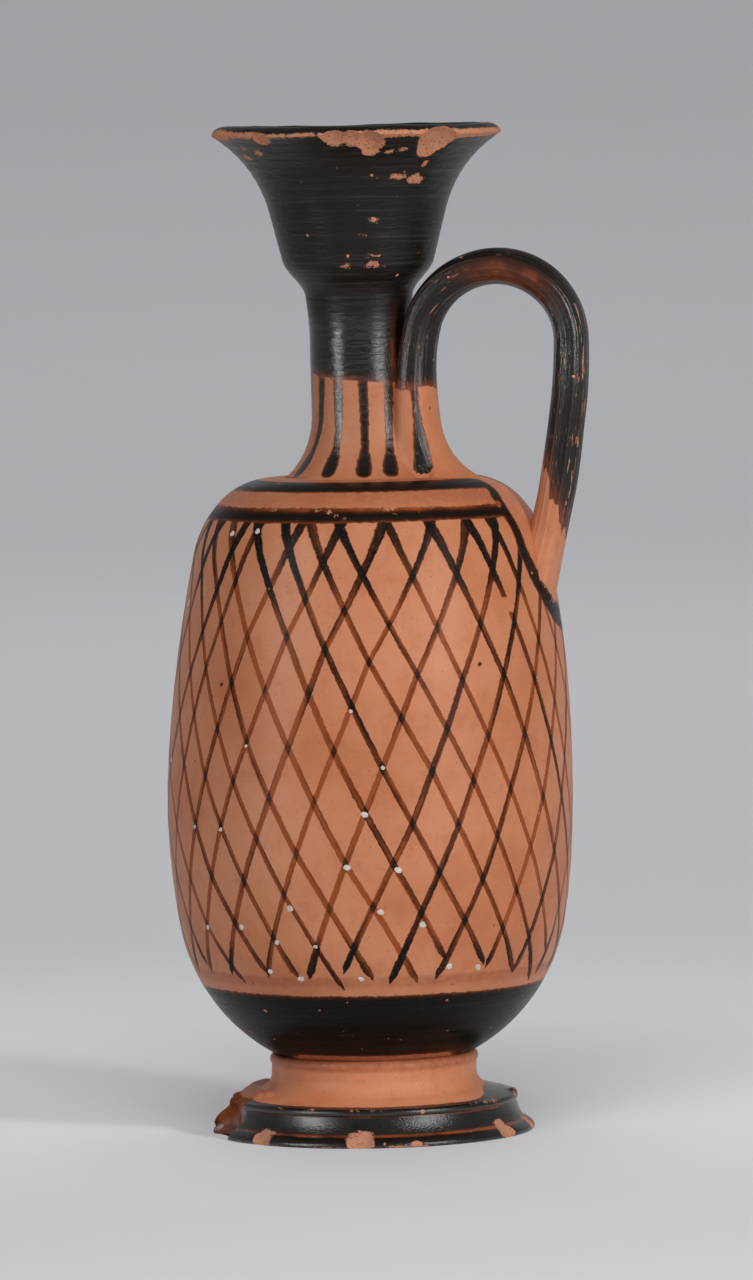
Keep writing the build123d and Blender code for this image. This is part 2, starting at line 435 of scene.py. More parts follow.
@dataclass(frozen=True)
class PaintedClay:
    """Fired clay, smoothed on the wheel, with black gloss slip brushed on it and worn off it."""

    name: str
    gloss_roughness: float = 0.32
    sparkle: float = 0.5
    lines: float = 0.6
    flecks: float = 0.5
    streaks: Streaks = Streaks.ROUND
    net: bool = False
    # painted light and shade: each piece's clay colour is scaled lighter or darker to stand in for how the
    # lamps fall on it
    painted_light_gain: float = 1.0
    rubbed: float = 0.2
    wear: float = 0.0
    dust: Colour = (0.058, 0.050, 0.043, 1)
    clay: Colour = (0.540, 0.196, 0.088, 1)
    pale_clay: Colour = (0.590, 0.238, 0.122, 1)
    deep_clay: Colour = (0.440, 0.135, 0.054, 1)
    raw_clay: Colour = (0.520, 0.232, 0.132, 1)
    red_wash: Colour = (0.330, 0.088, 0.040, 1)
    speck: Colour = (0.090, 0.035, 0.022, 1)
    clay_roughness: float = 0.42
    raw_roughness: float = 0.85
    clay_sheen: float = 0.28
    gloss_sheen: float = 0.32
    dull_roughness: float = 0.34
    dull_sheen: float = 0.24
    stroke_gloss: float = 0.45
    relief: float = 0.03
    cloud_scale: float = 42
    blotch_scale: float = 230
    fine_scale: float = 1100
    grit_scale: float = 3600
    fleck_scale: float = 620
    # Scale, least chance, size and depth of each kind of pit
    pits: tuple[tuple[float, ...], ...] = ((320.0, 0.86, 0.10, 0.75), (1050.0, 0.80, 0.17, 0.50))

    def build(self) -> Material:
        """Makes the material."""
        material, g, shader = new_material(self.name)
        t = self._textures(g)
        colour = self._clay_colour(g, t)
        # painted light and shade: the clay colour is scaled by the piece's painted brightness
        colour = g.mix(1.0, colour, (self.painted_light_gain, self.painted_light_gain, self.painted_light_gain, 1), "MULTIPLY")
        wash = g.times(g.read(Mark.WASH.value), g.step(t.fine, 0.2, 0.75, 0.45, 1.0))
        colour = g.mix(wash, colour, self.red_wash)
        strokes: Socket | None = None
        if self.net:
            colour, strokes = self._net(g, t, colour)
        gloss, black = self._gloss(g, t)
        colour = g.mix(gloss, colour, black)
        coated = gloss
        if strokes is not None:
            coated = g.math("MAXIMUM", gloss, strokes)
            gloss = g.math("MAXIMUM", gloss, g.times(strokes, self.stroke_gloss))
        bare = g.math("MAXIMUM", self._chips(g, t), self._flecks(g, t, gloss))
        colour = g.mix(bare, colour, self._raw_colour(g, t))

        dull = g.read(Mark.DULL.value)
        shine = g.between(dull, g.stir(t.streak, 0.35, self.gloss_roughness), self.dull_roughness)
        roughness = g.between(gloss, g.stir(t.blotch, 0.2, self.clay_roughness), shine)
        slip_sheen = g.between(dull, self.gloss_sheen, self.dull_sheen)
        g.dress(shader, Base_Color=colour, Roughness=g.between(bare, roughness, self.raw_roughness),
                Specular_IOR_Level=g.between(coated, self.clay_sheen, slip_sheen),
                Normal=self._relief(g, t, gloss, bare))
        return material

    def _textures(self, g: Graph) -> Textures:
        """Clouds and grit all over, and streaks, lines and hairs that follow the brush and the hand."""
        place = g.place()
        scale, finer, longer = STREAK_SCALES[self.streaks]
        grain = place if self.streaks is Streaks.ROUND else g.read("grain", "Vector")
        run = g.vector("MULTIPLY", grain, scale)
        return Textures(
            place=place,
            cloud=g.noise(place, self.cloud_scale, 4, 0.6),
            blotch=g.noise(place, self.blotch_scale, 4, 0.6),
            fine=g.noise(place, self.fine_scale, 3, 0.6),
            grit=g.noise(place, self.grit_scale),
            streak=g.noise(run, 1.0, 4, 0.65),
            line=g.noise(g.vector("MULTIPLY", run, finer), 1.0),
            hair=g.noise(g.vector("MULTIPLY", run, longer), 1.0, 3, 0.6),
        )

    def _clay_colour(self, g: Graph, t: Textures) -> Socket:
        """The clay's own colour, clouded by the fire, streaked by the wheel and pitted."""
        colour = g.mix(g.step(t.cloud, 0.38, 0.68), self.clay, self.pale_clay)
        for texture, low, high, share, over in (
            (t.cloud, 0.52, 0.28, 0.55, self.deep_clay), (t.blotch, 0.48, 0.72, 0.40, self.deep_clay),
            (t.streak, 0.52, 0.78, 0.30, self.pale_clay), (t.fine, 0.52, 0.78, 0.35, self.deep_clay),
            (t.line, 0.62, 0.76, 0.40, self.pale_clay),
        ):
            colour = g.mix(g.step(texture, low, high, 0.0, share), colour, over)
        for scale, rarest, size, depth in self.pits:
            distance, chance = g.cells(t.place, scale)
            found = g.math("GREATER_THAN", chance, rarest)
            pit = g.times(g.step(distance, size, size * 0.4), found)
            colour = g.mix(g.times(pit, depth), colour, self.speck)
        return colour

    def _net(self, g: Graph, t: Textures, colour: Socket) -> tuple[Socket, Socket]:
        """Lays the two families of brush strokes on the clay.

        Args:
            g: the material's graph.
            t: the clay's textures.
            colour: the clay beneath.

        Returns:
            The colour with the strokes on it, and how far they cover it.
        """
        across = g.split(g.read("net", "Vector"))
        tones = g.split(g.read("net_tone", "Vector"))
        level = g.split(t.place)[2]
        covers, darks = [], []
        for place, tone, end in ((across[0], tones[0], across[2]), (across[1], tones[1], tones[2])):
            turns = g.math("ROUND", g.math("DIVIDE", place, NET_PERIOD))
            side = g.math("MULTIPLY_ADD", turns, -NET_PERIOD, place)
            away = g.math("ABSOLUTE", side)
            brush = g.stir(t.grit, 0.45, g.stir(t.fine, 0.75, away))
            cover = g.times(g.step(brush, 1.14, 0.82), g.step(end, -0.1, 0.35))
            dark = g.math("MULTIPLY_ADD", g.step(away, 0.55, 0.95), 0.16, tone)
            along = g.join(g.times(place, 1.5), g.times(level, 160.0), 0.0)
            lean = g.stir(g.noise(g.vector("MULTIPLY", along, (0.2, 0.5, 0.0)), 1.0, 1), 2.4, 0.0)
            dark = g.math("MULTIPLY_ADD", lean, side, dark)
            for texture, size in ((g.noise(along, 1.0, 3, 0.6), 0.9), (t.blotch, 0.8), (t.fine, 0.5)):
                dark = g.stir(texture, size, dark)
            covers.append(cover)
            darks.append(g.times(dark, cover))
        crossing = g.math("MINIMUM", *covers)
        dark = g.math("MULTIPLY_ADD", crossing, 0.50, g.math("MAXIMUM", *darks), clamp=True)
        cover = g.math("MAXIMUM", *covers)
        dry = g.times(cover, g.step(t.grit, 0.18, 0.42, 0.72, 1.0))
        return g.mix(dry, colour, g.ramp(dark, SLIP_TONES)), cover

    def _gloss(self, g: Graph, t: Textures) -> tuple[Socket, Socket]:
        """How far gloss slip covers the clay, and its colour: brown where thin, dusty where rubbed."""
        ragged = g.stir(t.grit, 0.3, g.stir(t.fine, 0.55, g.read(Mark.GLOSS.value)))
        worn = g.times(g.read(Mark.THIN.value), g.step(t.blotch, 0.25, 0.7, 0.55, 1.25))
        edge = g.step(ragged, 0.0, 0.75, 0.62, 0.0)
        thin = g.stir(t.streak, 0.28, g.math("MAXIMUM", worn, edge))
        tone = g.math("SUBTRACT", 1.0, thin, clamp=True)
        patches = g.step(t.blotch, 0.30, 0.65, 0.2 * self.rubbed, self.rubbed)
        dusty = g.times(g.step(t.hair, 0.48, 0.72), patches)
        return g.step(ragged, -0.10, 0.12), g.mix(dusty, g.ramp(tone, SLIP_TONES), self.dust)

    def _chips(self, g: Graph, t: Textures) -> Socket:
        """Where the surface has broken off, ragged all round or along the brush."""
        chipped = g.read(Mark.BARE.value)
        for texture, size in zip((t.fine, t.grit, t.blotch, t.line), RAGGED_BY[self.streaks]):
            chipped = g.stir(texture, size, chipped)
        return g.step(chipped, -0.06, 0.06)

    def _flecks(self, g: Graph, t: Textures, gloss: Socket) -> Socket:
        """Specks and short scratches where the gloss has come off, thicker in some patches."""
        distance, chance = g.cells(t.place, self.fleck_scale)
        size = g.times(g.step(chance, 0.78, 1.0), 0.26)
        size = g.times(size, g.step(t.blotch, 0.36, 0.62))
        scratch = g.step(t.line, 0.76 - self.wear, 0.79 - self.wear)
        scratch = g.times(scratch, g.step(t.blotch, 0.48, 0.62))
        found = g.math("MAXIMUM", g.math("LESS_THAN", distance, size), scratch)
        return g.times(g.times(found, gloss), self.flecks)

    def _raw_colour(self, g: Graph, t: Textures) -> Socket:
        """The colour of broken clay."""
        raw = g.mix(g.step(t.blotch, 0.42, 0.66), self.raw_clay, self.pale_clay)
        raw = g.mix(g.step(t.fine, 0.52, 0.72, 0.0, 0.6), raw, self.deep_clay)
        return g.mix(g.step(t.grit, 0.60, 0.68), raw, self.speck)

    def _relief(self, g: Graph, t: Textures, gloss: Socket, bare: Socket) -> Socket:
        """The normals of the clay's grain, the slip's brush marks and the edges of its chips."""
        grain = g.math("MULTIPLY_ADD", t.grit, 0.5, g.times(t.fine, 0.4))
        slip = g.math("MULTIPLY_ADD", t.grit, self.sparkle, g.times(t.streak, 0.8))
        slip = g.math("MULTIPLY_ADD", t.line, self.lines, slip)
        height = g.between(gloss, grain, slip)
        height = g.math("MULTIPLY_ADD", bare, g.math("MULTIPLY_ADD", t.fine, 3.0, -2.2), height)
        return g.bump(height, self.relief)


@dataclass(frozen=True)
class WhiteSlip:
    """The chalky added white of the dots, soiled in its pores."""

    name: str = "added_white"
    colour: Colour = (0.66, 0.61, 0.55, 1)
    soil: Colour = (0.42, 0.30, 0.23, 1)

    def build(self) -> Material:
        """Makes the material."""
        material, g, shader = new_material(self.name)
        place = g.place()
        soiled = g.step(g.noise(place, 1800, 3), 0.5, 0.72)
        g.dress(shader, Base_Color=g.mix(soiled, self.colour, self.soil), Roughness=0.9,
                Normal=g.bump(g.noise(place, 2600), 0.06))
        return material


@dataclass(frozen=True)
class LutingSlip:
    """The fired slip in the joints, matt and a little darker than the clay."""

    name: str = "luting_slip"
    colour: Colour = (0.470, 0.180, 0.098, 1)
    dark: Colour = (0.300, 0.100, 0.052, 1)

    def build(self) -> Material:
        """Makes the material."""
        material, g, shader = new_material(self.name)
        place = g.place()
        g.dress(shader, Base_Color=g.mix(g.noise(place, 700, 3), self.colour, self.dark), Roughness=0.8,
                Normal=g.bump(g.noise(place, 2200), 0.05))
        return material


class Surface:
    """A mesh's points in millimetres, to be shaped, worn and painted before they go back."""

    NEAR = 6
    UNREACHED = 99.0

    def __init__(self, piece: Object) -> None:
        """Reads the points of a piece."""
        self.mesh: Mesh = piece.data
        self.points = read_all(self.mesh.vertices, "co", np.float32, 3).astype(float) / MM
        self.marks = {mark: np.full(len(self.points), start) for mark, start in MARK_START.items()}

    @property
    def radius(self) -> Array:
        """Distance of each point from the axis."""
        return np.hypot(self.points[:, 0], self.points[:, 1])

    @property
    def level(self) -> Array:
        """Level of each point."""
        return self.points[:, 2]

    @property
    def angle(self) -> Array:
        """Front angle of each point, from -180 to 180."""
        return turn_from(np.degrees(np.arctan2(self.points[:, 1], self.points[:, 0])), FRONT_TURN)

    def mark(self, mark: Mark, values: Array, where: Array | bool = True) -> None:
        """Adds to a mark, on some of the points, if the values are above what is there."""
        self.marks[mark] = np.maximum(self.marks[mark], np.where(where, values, MARK_START[mark]))

    def near(self, path: Array) -> Array:
        """Distance of each point from a path, and the path's nearest sample, as two columns."""
        low, high = path.min(0) - self.NEAR, path.max(0) + self.NEAR
        close = np.flatnonzero(((self.points > low) & (self.points < high)).all(1))
        found = np.full((len(self.points), 2), [self.UNREACHED, 0.0])
        gaps = np.linalg.norm(self.points[close, None] - path[None], axis=2)
        nearest = gaps.argmin(1)
        found[close] = np.stack([gaps[np.arange(len(close)), nearest], nearest], 1)
        return found

    def write(self, name: str, values: Array, kind: str = "FLOAT", domain: str = "POINT") -> None:
        """Keeps values on the mesh under a name."""
        layer = self.mesh.attributes.new(name, kind, domain)
        part = "vector" if kind == "FLOAT_VECTOR" else "value"
        layer.data.foreach_set(part, values.astype(np.float32).ravel())

    def store(self) -> None:
        """Leans the points with the flask and puts everything back on the mesh."""
        self.points = self.points + STANCE.aside(self.level)[:, None] * RIGHT
        self.mesh.vertices.foreach_set("co", (self.points * MM).astype(np.float32).ravel())
        for mark, values in self.marks.items():
            self.write(mark.value, values)
        self.mesh.update()


def on_turn(radius: Array, angle: Array, level: Array) -> Array:
    """Points from radii, front angles and levels."""
    turn = np.radians(np.asarray(angle) + FRONT_TURN)
    return np.stack(np.broadcast_arrays(radius * np.cos(turn), radius * np.sin(turn), level), -1)


@dataclass(frozen=True)
class Scoop:
    """A shell-shaped chip, bitten out of a turned wall by a few balls side by side."""

    angle: float
    level: float
    reach: float
    depth: float
    lobes: int = 3
    grain: float = 0.16
    bare: bool = True
    clean: float = 1.7

    def bite(self, surface: Surface, wall: Array) -> None:
        """Pushes the points inside the balls back to their skins and lays them bare.

        Args:
            surface: the piece's surface.
            wall: radii and levels of the wall's outline, going up.
        """
        normal = normals(wall)
        draw = np.random.default_rng(round(abs(self.angle) * 10))
        for lobe in range(self.lobes):
            size = self.reach * (draw.uniform(0.4, 0.65) if lobe else 1.0)
            aside, higher = draw.uniform(-0.65, 0.65, 2) * self.reach if lobe else (0.0, 0.0)
            at = np.abs(wall[:, 1] - self.level - higher * 0.5).argmin()
            depth = self.depth * size / self.reach
            ball = (size ** 2 + depth ** 2) / (2 * depth)
            out, level = wall[at] + normal[at] * (ball - depth)
            self._press(surface, on_turn(out, self.angle + degrees(aside / wall[at, 0]), level), ball)

    def _press(self, surface: Surface, centre: Array, ball: float) -> None:
        """Presses one ball into the surface."""
        away = surface.points - centre
        gap = np.linalg.norm(away, axis=1)
        inside = np.flatnonzero(gap < ball)
        skin = ball + self.grain * rough(surface.points[inside], 0.9, self.angle)
        push = np.maximum(skin - gap[inside], 0)
        surface.points[inside] += away[inside] / gap[inside, None] * push[:, None]
        if self.bare:
            surface.mark(Mark.BARE, np.clip((ball - gap) * self.clean, FAR, 0.9))
        else:
            worn = ease(ball - gap, -0.3, 0.5)
            surface.mark(Mark.THIN, 0.85 * worn)
            surface.mark(Mark.WASH, 0.90 * worn)


@dataclass(frozen=True)
class Flake:
    """A patch where the gloss has flaked off the clay."""

    angle: float
    level: float
    width: float
    height: float

    def lift(self, surface: Surface) -> None:
        """Lays the patch bare."""
        off = turn_from(surface.angle, self.angle)
        across = np.radians(off) * surface.radius / (self.width / 2)
        along = (surface.level - self.level) / (self.height / 2)
        gap = 1 - np.hypot(across, along)
        surface.mark(Mark.BARE, np.clip(np.clip(gap, -4, 1) * self.height / 2, FAR, 0.3))


def new_piece(name: str, points: list, faces: list) -> Object:
    """A new mesh object at the origin, in the scene."""
    mesh = bpy.data.meshes.new(name)
    mesh.from_pydata(points, [], faces)
    piece = bpy.data.objects.new(name, mesh)
    bpy.context.scene.collection.objects.link(piece)
    return piece


def ring_faces(first: int, rings: int, sides: int) -> list[tuple[int, ...]]:
    """The faces between rings of points, numbered on from a first point."""
    faces = []
    for start in range(first, first + (rings - 1) * sides, sides):
        for side in range(sides):
            here, there = start + side, start + (side + 1) % sides
            faces.append((here, there, there + sides, here + sides))
    return faces


def face_out(mesh: Mesh) -> None:
    """Turns the faces of a closed mesh outwards."""
    mesh.calc_loop_triangles()
    corners = read_all(mesh.loop_triangles, "vertices", np.int32, 3)
    points = read_all(mesh.vertices, "co", np.float32, 3)
    a, b, c = points[corners].transpose(1, 0, 2).astype(float)
    if (a * np.cross(b, c)).sum() < 0:
        mesh.flip_normals()


def seat(piece: Object, slot: str, *nodes: str) -> None:
    """Sets a finished piece in the frame in place of its nodes."""
    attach(piece, BODY)
    if nodes:
        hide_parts(*nodes)
    LOG.info("%s: %d points, %d faces", piece.name, len(piece.data.vertices), len(piece.data.polygons))


class NodeTool:
    """A node tree with named inputs that makes a piece out of a few points."""

    NAME = ""
    INPUTS: dict[str, str] = {}

    def __init__(self) -> None:
        """Makes the tree, its sockets and its nodes."""
        self.tree = bpy.data.node_groups.new(self.NAME, "GeometryNodeTree")
        sockets = self.tree.interface
        sockets.new_socket("Geometry", in_out="INPUT", socket_type="NodeSocketGeometry")
        self.names: dict[str, str] = {}
        for name, kind in self.INPUTS.items():
            socket = sockets.new_socket(name, in_out="INPUT", socket_type=f"NodeSocket{kind}")
            self.names[name] = socket.identifier
        sockets.new_socket("Geometry", in_out="OUTPUT", socket_type="NodeSocketGeometry")
        g = Graph(self.tree)
        shape = self.lay(g, g.add("NodeGroupInput").outputs)
        g.add("NodeGroupOutput", {0: shape})

    def lay(self, g: Graph, given: NodeOutputs) -> Socket:
        """Lays the nodes from the given inputs to the finished geometry."""
        raise NotImplementedError

    def work(self, piece: Object, settings: dict[str, object]) -> None:
        """Runs the tree on a piece and leaves plain mesh, with its faces outwards.

        Args:
            piece: the piece, a mesh of points.
            settings: the tree's inputs by name.
        """
        modifier = piece.modifiers.new(self.NAME, "NODES")
        modifier.node_group = self.tree
        for name, value in settings.items():
            modifier[self.names[name]] = value
        graph = bpy.context.evaluated_depsgraph_get()
        made = piece.evaluated_get(graph)
        mesh = bpy.data.meshes.new_from_object(made, preserve_all_data_layers=True, depsgraph=graph)
        piece.modifiers.remove(modifier)
        chain, piece.data = piece.data, mesh
        bpy.data.meshes.remove(chain)
        mesh.name = piece.name
        face_out(mesh)


class Wheel(NodeTool):
    """The wheel: turns a chain of points about the axis into a thrown wall."""

    NAME = "wheel"
    INPUTS = {"Facets": "Int", "Wobble": "Float", "Wobble Scale": "Float", "Ridge": "Float",
              "Ridge Pitch": "Float", "Seed": "Float", "Material": "Material"}
    MERGED = 0.001 * MM
    SHARP = radians(50)

    def lay(self, g: Graph, given: NodeOutputs) -> Socket:
        """Turns each point through the facets, with the wheel's wobble and the fingers' ridges."""
        rows = g.make("GeometryNodeAttributeDomainSize", {0: given["Geometry"]})
        columns = self._whole(g, "ADD", given["Facets"], 1)
        grid = g.make("GeometryNodeMeshGrid", {"Vertices X": columns, "Vertices Y": rows})
        index = g.make("GeometryNodeInputIndex")
        row = self._whole(g, "MODULO", index, rows)
        column = self._whole(g, "DIVIDE", index, rows)
        outline = g.add("GeometryNodeSampleIndex", {"Geometry": given["Geometry"], "Index": row},
                        data_type="FLOAT_VECTOR", domain="POINT")
        g.dress(outline, Value=g.make("GeometryNodeInputPosition"))
        radius, _, level = g.split(outline.outputs[0])
        turn = g.times(g.math("DIVIDE", column, given["Facets"]), tau)
        place = self._around(g, radius, turn, level)
        inputs = {"Vector": place, "W": given["Seed"], "Scale": given["Wobble Scale"], "Detail": 2.0}
        lumps = g.make("ShaderNodeTexNoise", inputs, noise_dimensions="4D")
        wobble = g.times(g.math("SUBTRACT", lumps, 0.5), given["Wobble"])
        climb = g.math("MULTIPLY_ADD", g.math("DIVIDE", level, given["Ridge Pitch"]), tau, turn)
        ridge = g.times(g.times(g.math("SINE", climb), given["Ridge"]), lumps)
        radius = g.times(radius, g.math("ADD", 1.0, g.math("ADD", wobble, ridge)))
        shape = g.shaped("SetPosition", grid, Position=self._around(g, radius, turn, level))
        shape = g.add("GeometryNodeStoreNamedAttribute", {"Geometry": shape, "Name": "row", "Value": row},
                      data_type="INT", domain="POINT").outputs[0]
        shape = g.shaped("MergeByDistance", shape, Distance=self.MERGED)
        shape = g.shaped("SetShadeSmooth", shape, Shade_Smooth=True)
        sharp = g.math("GREATER_THAN", g.make("GeometryNodeInputMeshEdgeAngle"), self.SHARP)
        inputs = {"Geometry": shape, "Selection": sharp, "Shade Smooth": False}
        shape = g.make("GeometryNodeSetShadeSmooth", inputs, domain="EDGE")
        shape = g.shaped("RealizeInstances", shape)
        return g.shaped("SetMaterial", shape, Material=given["Material"])

    @staticmethod
    def _whole(g: Graph, operation: str, *values: object) -> Socket:
        """A sum on whole numbers."""
        return g.make("FunctionNodeIntegerMath", dict(enumerate(values)), operation=operation)

    @staticmethod
    def _around(g: Graph, radius: Socket, turn: Socket, level: Socket) -> Socket:
        """A point at a radius, a turn and a level."""
        x = g.times(radius, g.math("COSINE", turn))
        y = g.times(radius, g.math("SINE", turn))
        return g.join(x, y, level)

    def throw(self, name: str, outline: Array, sizes: dict[str, object]) -> Object:
        """Turns an outline, which ends where it started or on the axis, into a mesh that keeps its rows."""
        chain = np.stack([outline[:, 0], np.zeros(len(outline)), outline[:, 1]], 1) * MM
        piece = new_piece(name, chain.tolist(), [])
        self.work(piece, sizes)
        return piece


@dataclass
class Thrown:
    """A piece thrown on the wheel."""

    wheel: Wheel
    node: str = ""
    slot: str = ""
    facets: int = 240
    step: float = 0.6
    inner_step: float = 2.0
    wobble: float = 0.012
    wobble_scale: float = 40.0
    ridge: float = 0.0030
    ridge_pitch: float = 1.3
    seed: float = 3.0
    finish: PaintedClay = PaintedClay("clay")
    flakes: tuple[Flake, ...] = ()

    def outer(self) -> Array:
        """The outline of what shows, as radii and levels."""
        raise NotImplementedError

    def inner(self) -> Array:
        """The rest of the outline, back to where it started or to the axis."""
        raise NotImplementedError

    def shape(self, surface: Surface) -> None:
        """Wears the thrown wall."""

    def paint(self, surface: Surface, shown: Array) -> None:
        """Paints the wall; shown is true on its outside."""

    def build(self) -> tuple[Object, Surface]:
        """Throws, wears and paints the piece and sets it in the frame.

        Returns:
            The piece and its finished surface.
        """
        outer = self.outer()
        outline = np.concatenate([outer, self.inner()])
        sizes = {"Facets": self.facets, "Wobble": self.wobble, "Wobble Scale": self.wobble_scale,
                 "Ridge": self.ridge, "Ridge Pitch": self.ridge_pitch * MM, "Seed": self.seed,
                 "Material": self.finish.build()}
        piece = self.wheel.throw(f"{self.node}_thrown", outline, sizes)
        surface = Surface(piece)
        layer = surface.mesh.attributes["row"]
        shown = read_all(layer.data, "value", np.int32) < len(outer)
        surface.mesh.attributes.remove(layer)
        self.paint(surface, shown)
        for flake in self.flakes:
            flake.lift(surface)
        self.shape(surface)
        surface.store()
        seat(piece, self.slot, self.node)
        return piece, surface


@dataclass
class Foot(Thrown):
    """The foot: a stem on a disc with a beaded edge, hollow underneath."""

    node: str = "foot"
    slot: str = "clay_foot"
    facets: int = 300
    step: float = 0.35
    wobble: float = 0.008
    wobble_scale: float = 35.0
    ridge: float = 0.0012
    ridge_pitch: float = 3.4
    seed: float = 4.0
    base_radius: float = 25.4
    base_bead: float = 1.1
    rest_inner_radius: float = 19.6
    disc_radius: float = 22.9
    disc_level: float = 5.8
    disc_bead_height: float = 1.2
    disc_bead_width: float = 0.7
    disc_groove: float = 0.25
    stem_radius: float = 16.3
    stem_corner_level: float = 7.4
    ridge_height: float = 1.6
    seat_radius: float = 15.75
    hollow_radius: float = 11.0
    hollow_level: float = 8.0
    stem_fillet: float = 1.9
    flare_radius: float = 23.9
    flare_level: float = 1.75
    # painted light: the foot's clay is painted brighter to stand in for the light falling on it
    finish: PaintedClay = PaintedClay(
        "clay_foot", painted_light_gain=1.27, gloss_roughness=0.20, sparkle=2.0, flecks=0.9, gloss_sheen=0.85,
        dull_roughness=0.7, dull_sheen=0.06,
    )
    gloss_radius: float = 21.3
    gloss_near_stem: float = 3.8
    near_stem_angle: float = 95.0
    near_stem_reach: Pair = (-50.0, -15.0)
    ridge_wash: Pair = (10.4, 11.6)
    chips: tuple[Scoop, ...] = (
        Scoop(-44.5, 0.9, 1.9, 0.7, 2, clean=4), Scoop(-5, 0.8, 2.3, 0.8, 2, clean=4),
        Scoop(57, 1, 1.9, 0.7, 2, clean=4), Scoop(82, 0.9, 1.8, 0.7, 2, clean=4),
        Scoop(15.2, 0.4, 0.9, 0.25, 1, clean=4), Scoop(140, 0.9, 2, 0.6, clean=4),
        Scoop(-150, 0.9, 2.3, 0.7, clean=4),
    )
    flakes: tuple[Flake, ...] = (
        Flake(-45, 1.7, 2.9, 1.4), Flake(-5.3, 1.7, 3.8, 1.4),
        Flake(56.5, 1.9, 2.9, 1.6), Flake(82, 1.8, 2.2, 1.2),
    )
    breaks: tuple[Scoop, ...] = (
        Scoop(-68, 5.2, 1.9, 0.4, 4, 0.15, False), Scoop(-76, 5, 2.4, 0.5, 4, 0.15, False),
        Scoop(-97, 5.4, 2.8, 0.6, 4, 0.15, False), Scoop(-110, 4.8, 2.2, 0.5, 4, 0.15, False),
    )
    crust_angle: float = -90.0
    crust_reach: float = 24.0
    crust_low: float = 0.9
    # Level, and how far the crust stands out there
    crust_build: Pairs = ((0.9, 0.0), (1.4, 0.4), (2.0, 1.9), (2.8, 2.1), (3.7, 1.2), (4.6, 0.4), (6, 0))
    crust_slope: float = 0.16
    crust_radii: Pair = (17.5, 19.5)
    crust_lumps: float = 0.5
    crust_slump: float = 0.2
    crust_heap: float = 0.9
    lump_angle: float = 88.0
    lump_reach: float = 0.8
    lump_height: float = 0.55

    def outer(self) -> Array:
        """From the seat down the stem, over the disc and round the beads to the resting ring."""
        bead = self.base_bead
        line = Outline((self.seat_radius, BODY_BASE), self.step)
        line.arc((self.stem_radius, BODY_BASE - self.ridge_height), heading=(1, -0.12))
        disc = np.array([self.disc_radius - self.disc_bead_width, self.disc_level])
        corner = np.array([self.stem_radius, self.stem_corner_level])
        way = unit(disc - corner)
        fillet_end = corner + way * self.stem_fillet
        line.line((corner[0], corner[1] + self.stem_fillet)).curve(fillet_end, way)
        line.line(disc)
        bead_foot = (self.disc_radius - self.disc_groove, self.disc_level - self.disc_bead_height)
        line.arc(bead_foot, heading=(1.0, 0.1))
        line.arc((self.flare_radius, self.flare_level), heading=(0.2, -1.0))
        line.arc((self.base_radius, bead - 0.3), (self.base_radius - bead, 0), heading=(1, -0.35))
        return line.array()

    def inner(self) -> Array:
        """Across the resting ring and up the hollow to the seat again."""
        line = Outline((self.base_radius - self.base_bead, 0), self.inner_step)
        line.line((self.rest_inner_radius, 0), (self.hollow_radius, self.hollow_level))
        line.line((self.hollow_radius, BODY_BASE), (self.seat_radius, BODY_BASE))
        return line.array()[1:]

    def paint(self, surface: Surface, shown: Array) -> None:
        """Black on the disc's edge, a red wash on the ridge, dull crust, and worn lines along the beads."""
        level, angle, radius = surface.level, surface.angle, surface.radius
        border = self.gloss_radius + wander(angle, 11, 0.25)
        beside = ease(-np.abs(angle - self.near_stem_angle), *self.near_stem_reach)
        border = border - self.gloss_near_stem * beside
        surface.mark(Mark.GLOSS, np.clip(radius - border, FAR, 3), shown & (level < self.stem_corner_level))
        surface.mark(Mark.WASH, 0.65 * ease(level, *self.ridge_wash), shown)
        crust = self.crust(surface)
        for mark, share in ((Mark.THIN, 0.85), (Mark.WASH, 0.9), (Mark.DULL, 1.0)):
            surface.mark(mark, share * crust, shown)
        for place, deepest in ((self.flare_level, 0.75), (self.disc_level - self.disc_bead_height, 0.40)):
            groove = ease(-np.abs(level - place), -0.35, -0.08)
            surface.mark(Mark.THIN, groove * (deepest + wander(angle, 3, 0.45)), shown & (radius > 22))
        lines = {self.disc_level - 0.15: (17, -0.05), self.flare_level - 0.1: (29, -0.32), 0.2: (19, -0.05)}
        for place, (seed, width) in lines.items():
            worn = width + wander(angle, seed, 0.30) - np.abs(level - place) * 1.3
            surface.mark(Mark.BARE, np.clip(worn, FAR, 0.25), shown & (radius > 20))

    def crust(self, surface: Surface) -> Array:
        """How far each point lies under the rough crust on the disc's side, from 0 to 1."""
        off = np.abs(surface.angle - self.crust_angle) + wander(surface.level * 40, 9, 5.0)
        low = self.crust_low + self.crust_slope * np.maximum(surface.angle - self.crust_angle, 0)
        side = ease(-off, -self.crust_reach - 3, -self.crust_reach + 3)
        above = ease(surface.level, low - 0.4, low + 0.2) * ease(-surface.level, -8.0, -7.0)
        return side * above * ease(surface.radius, *self.crust_radii)

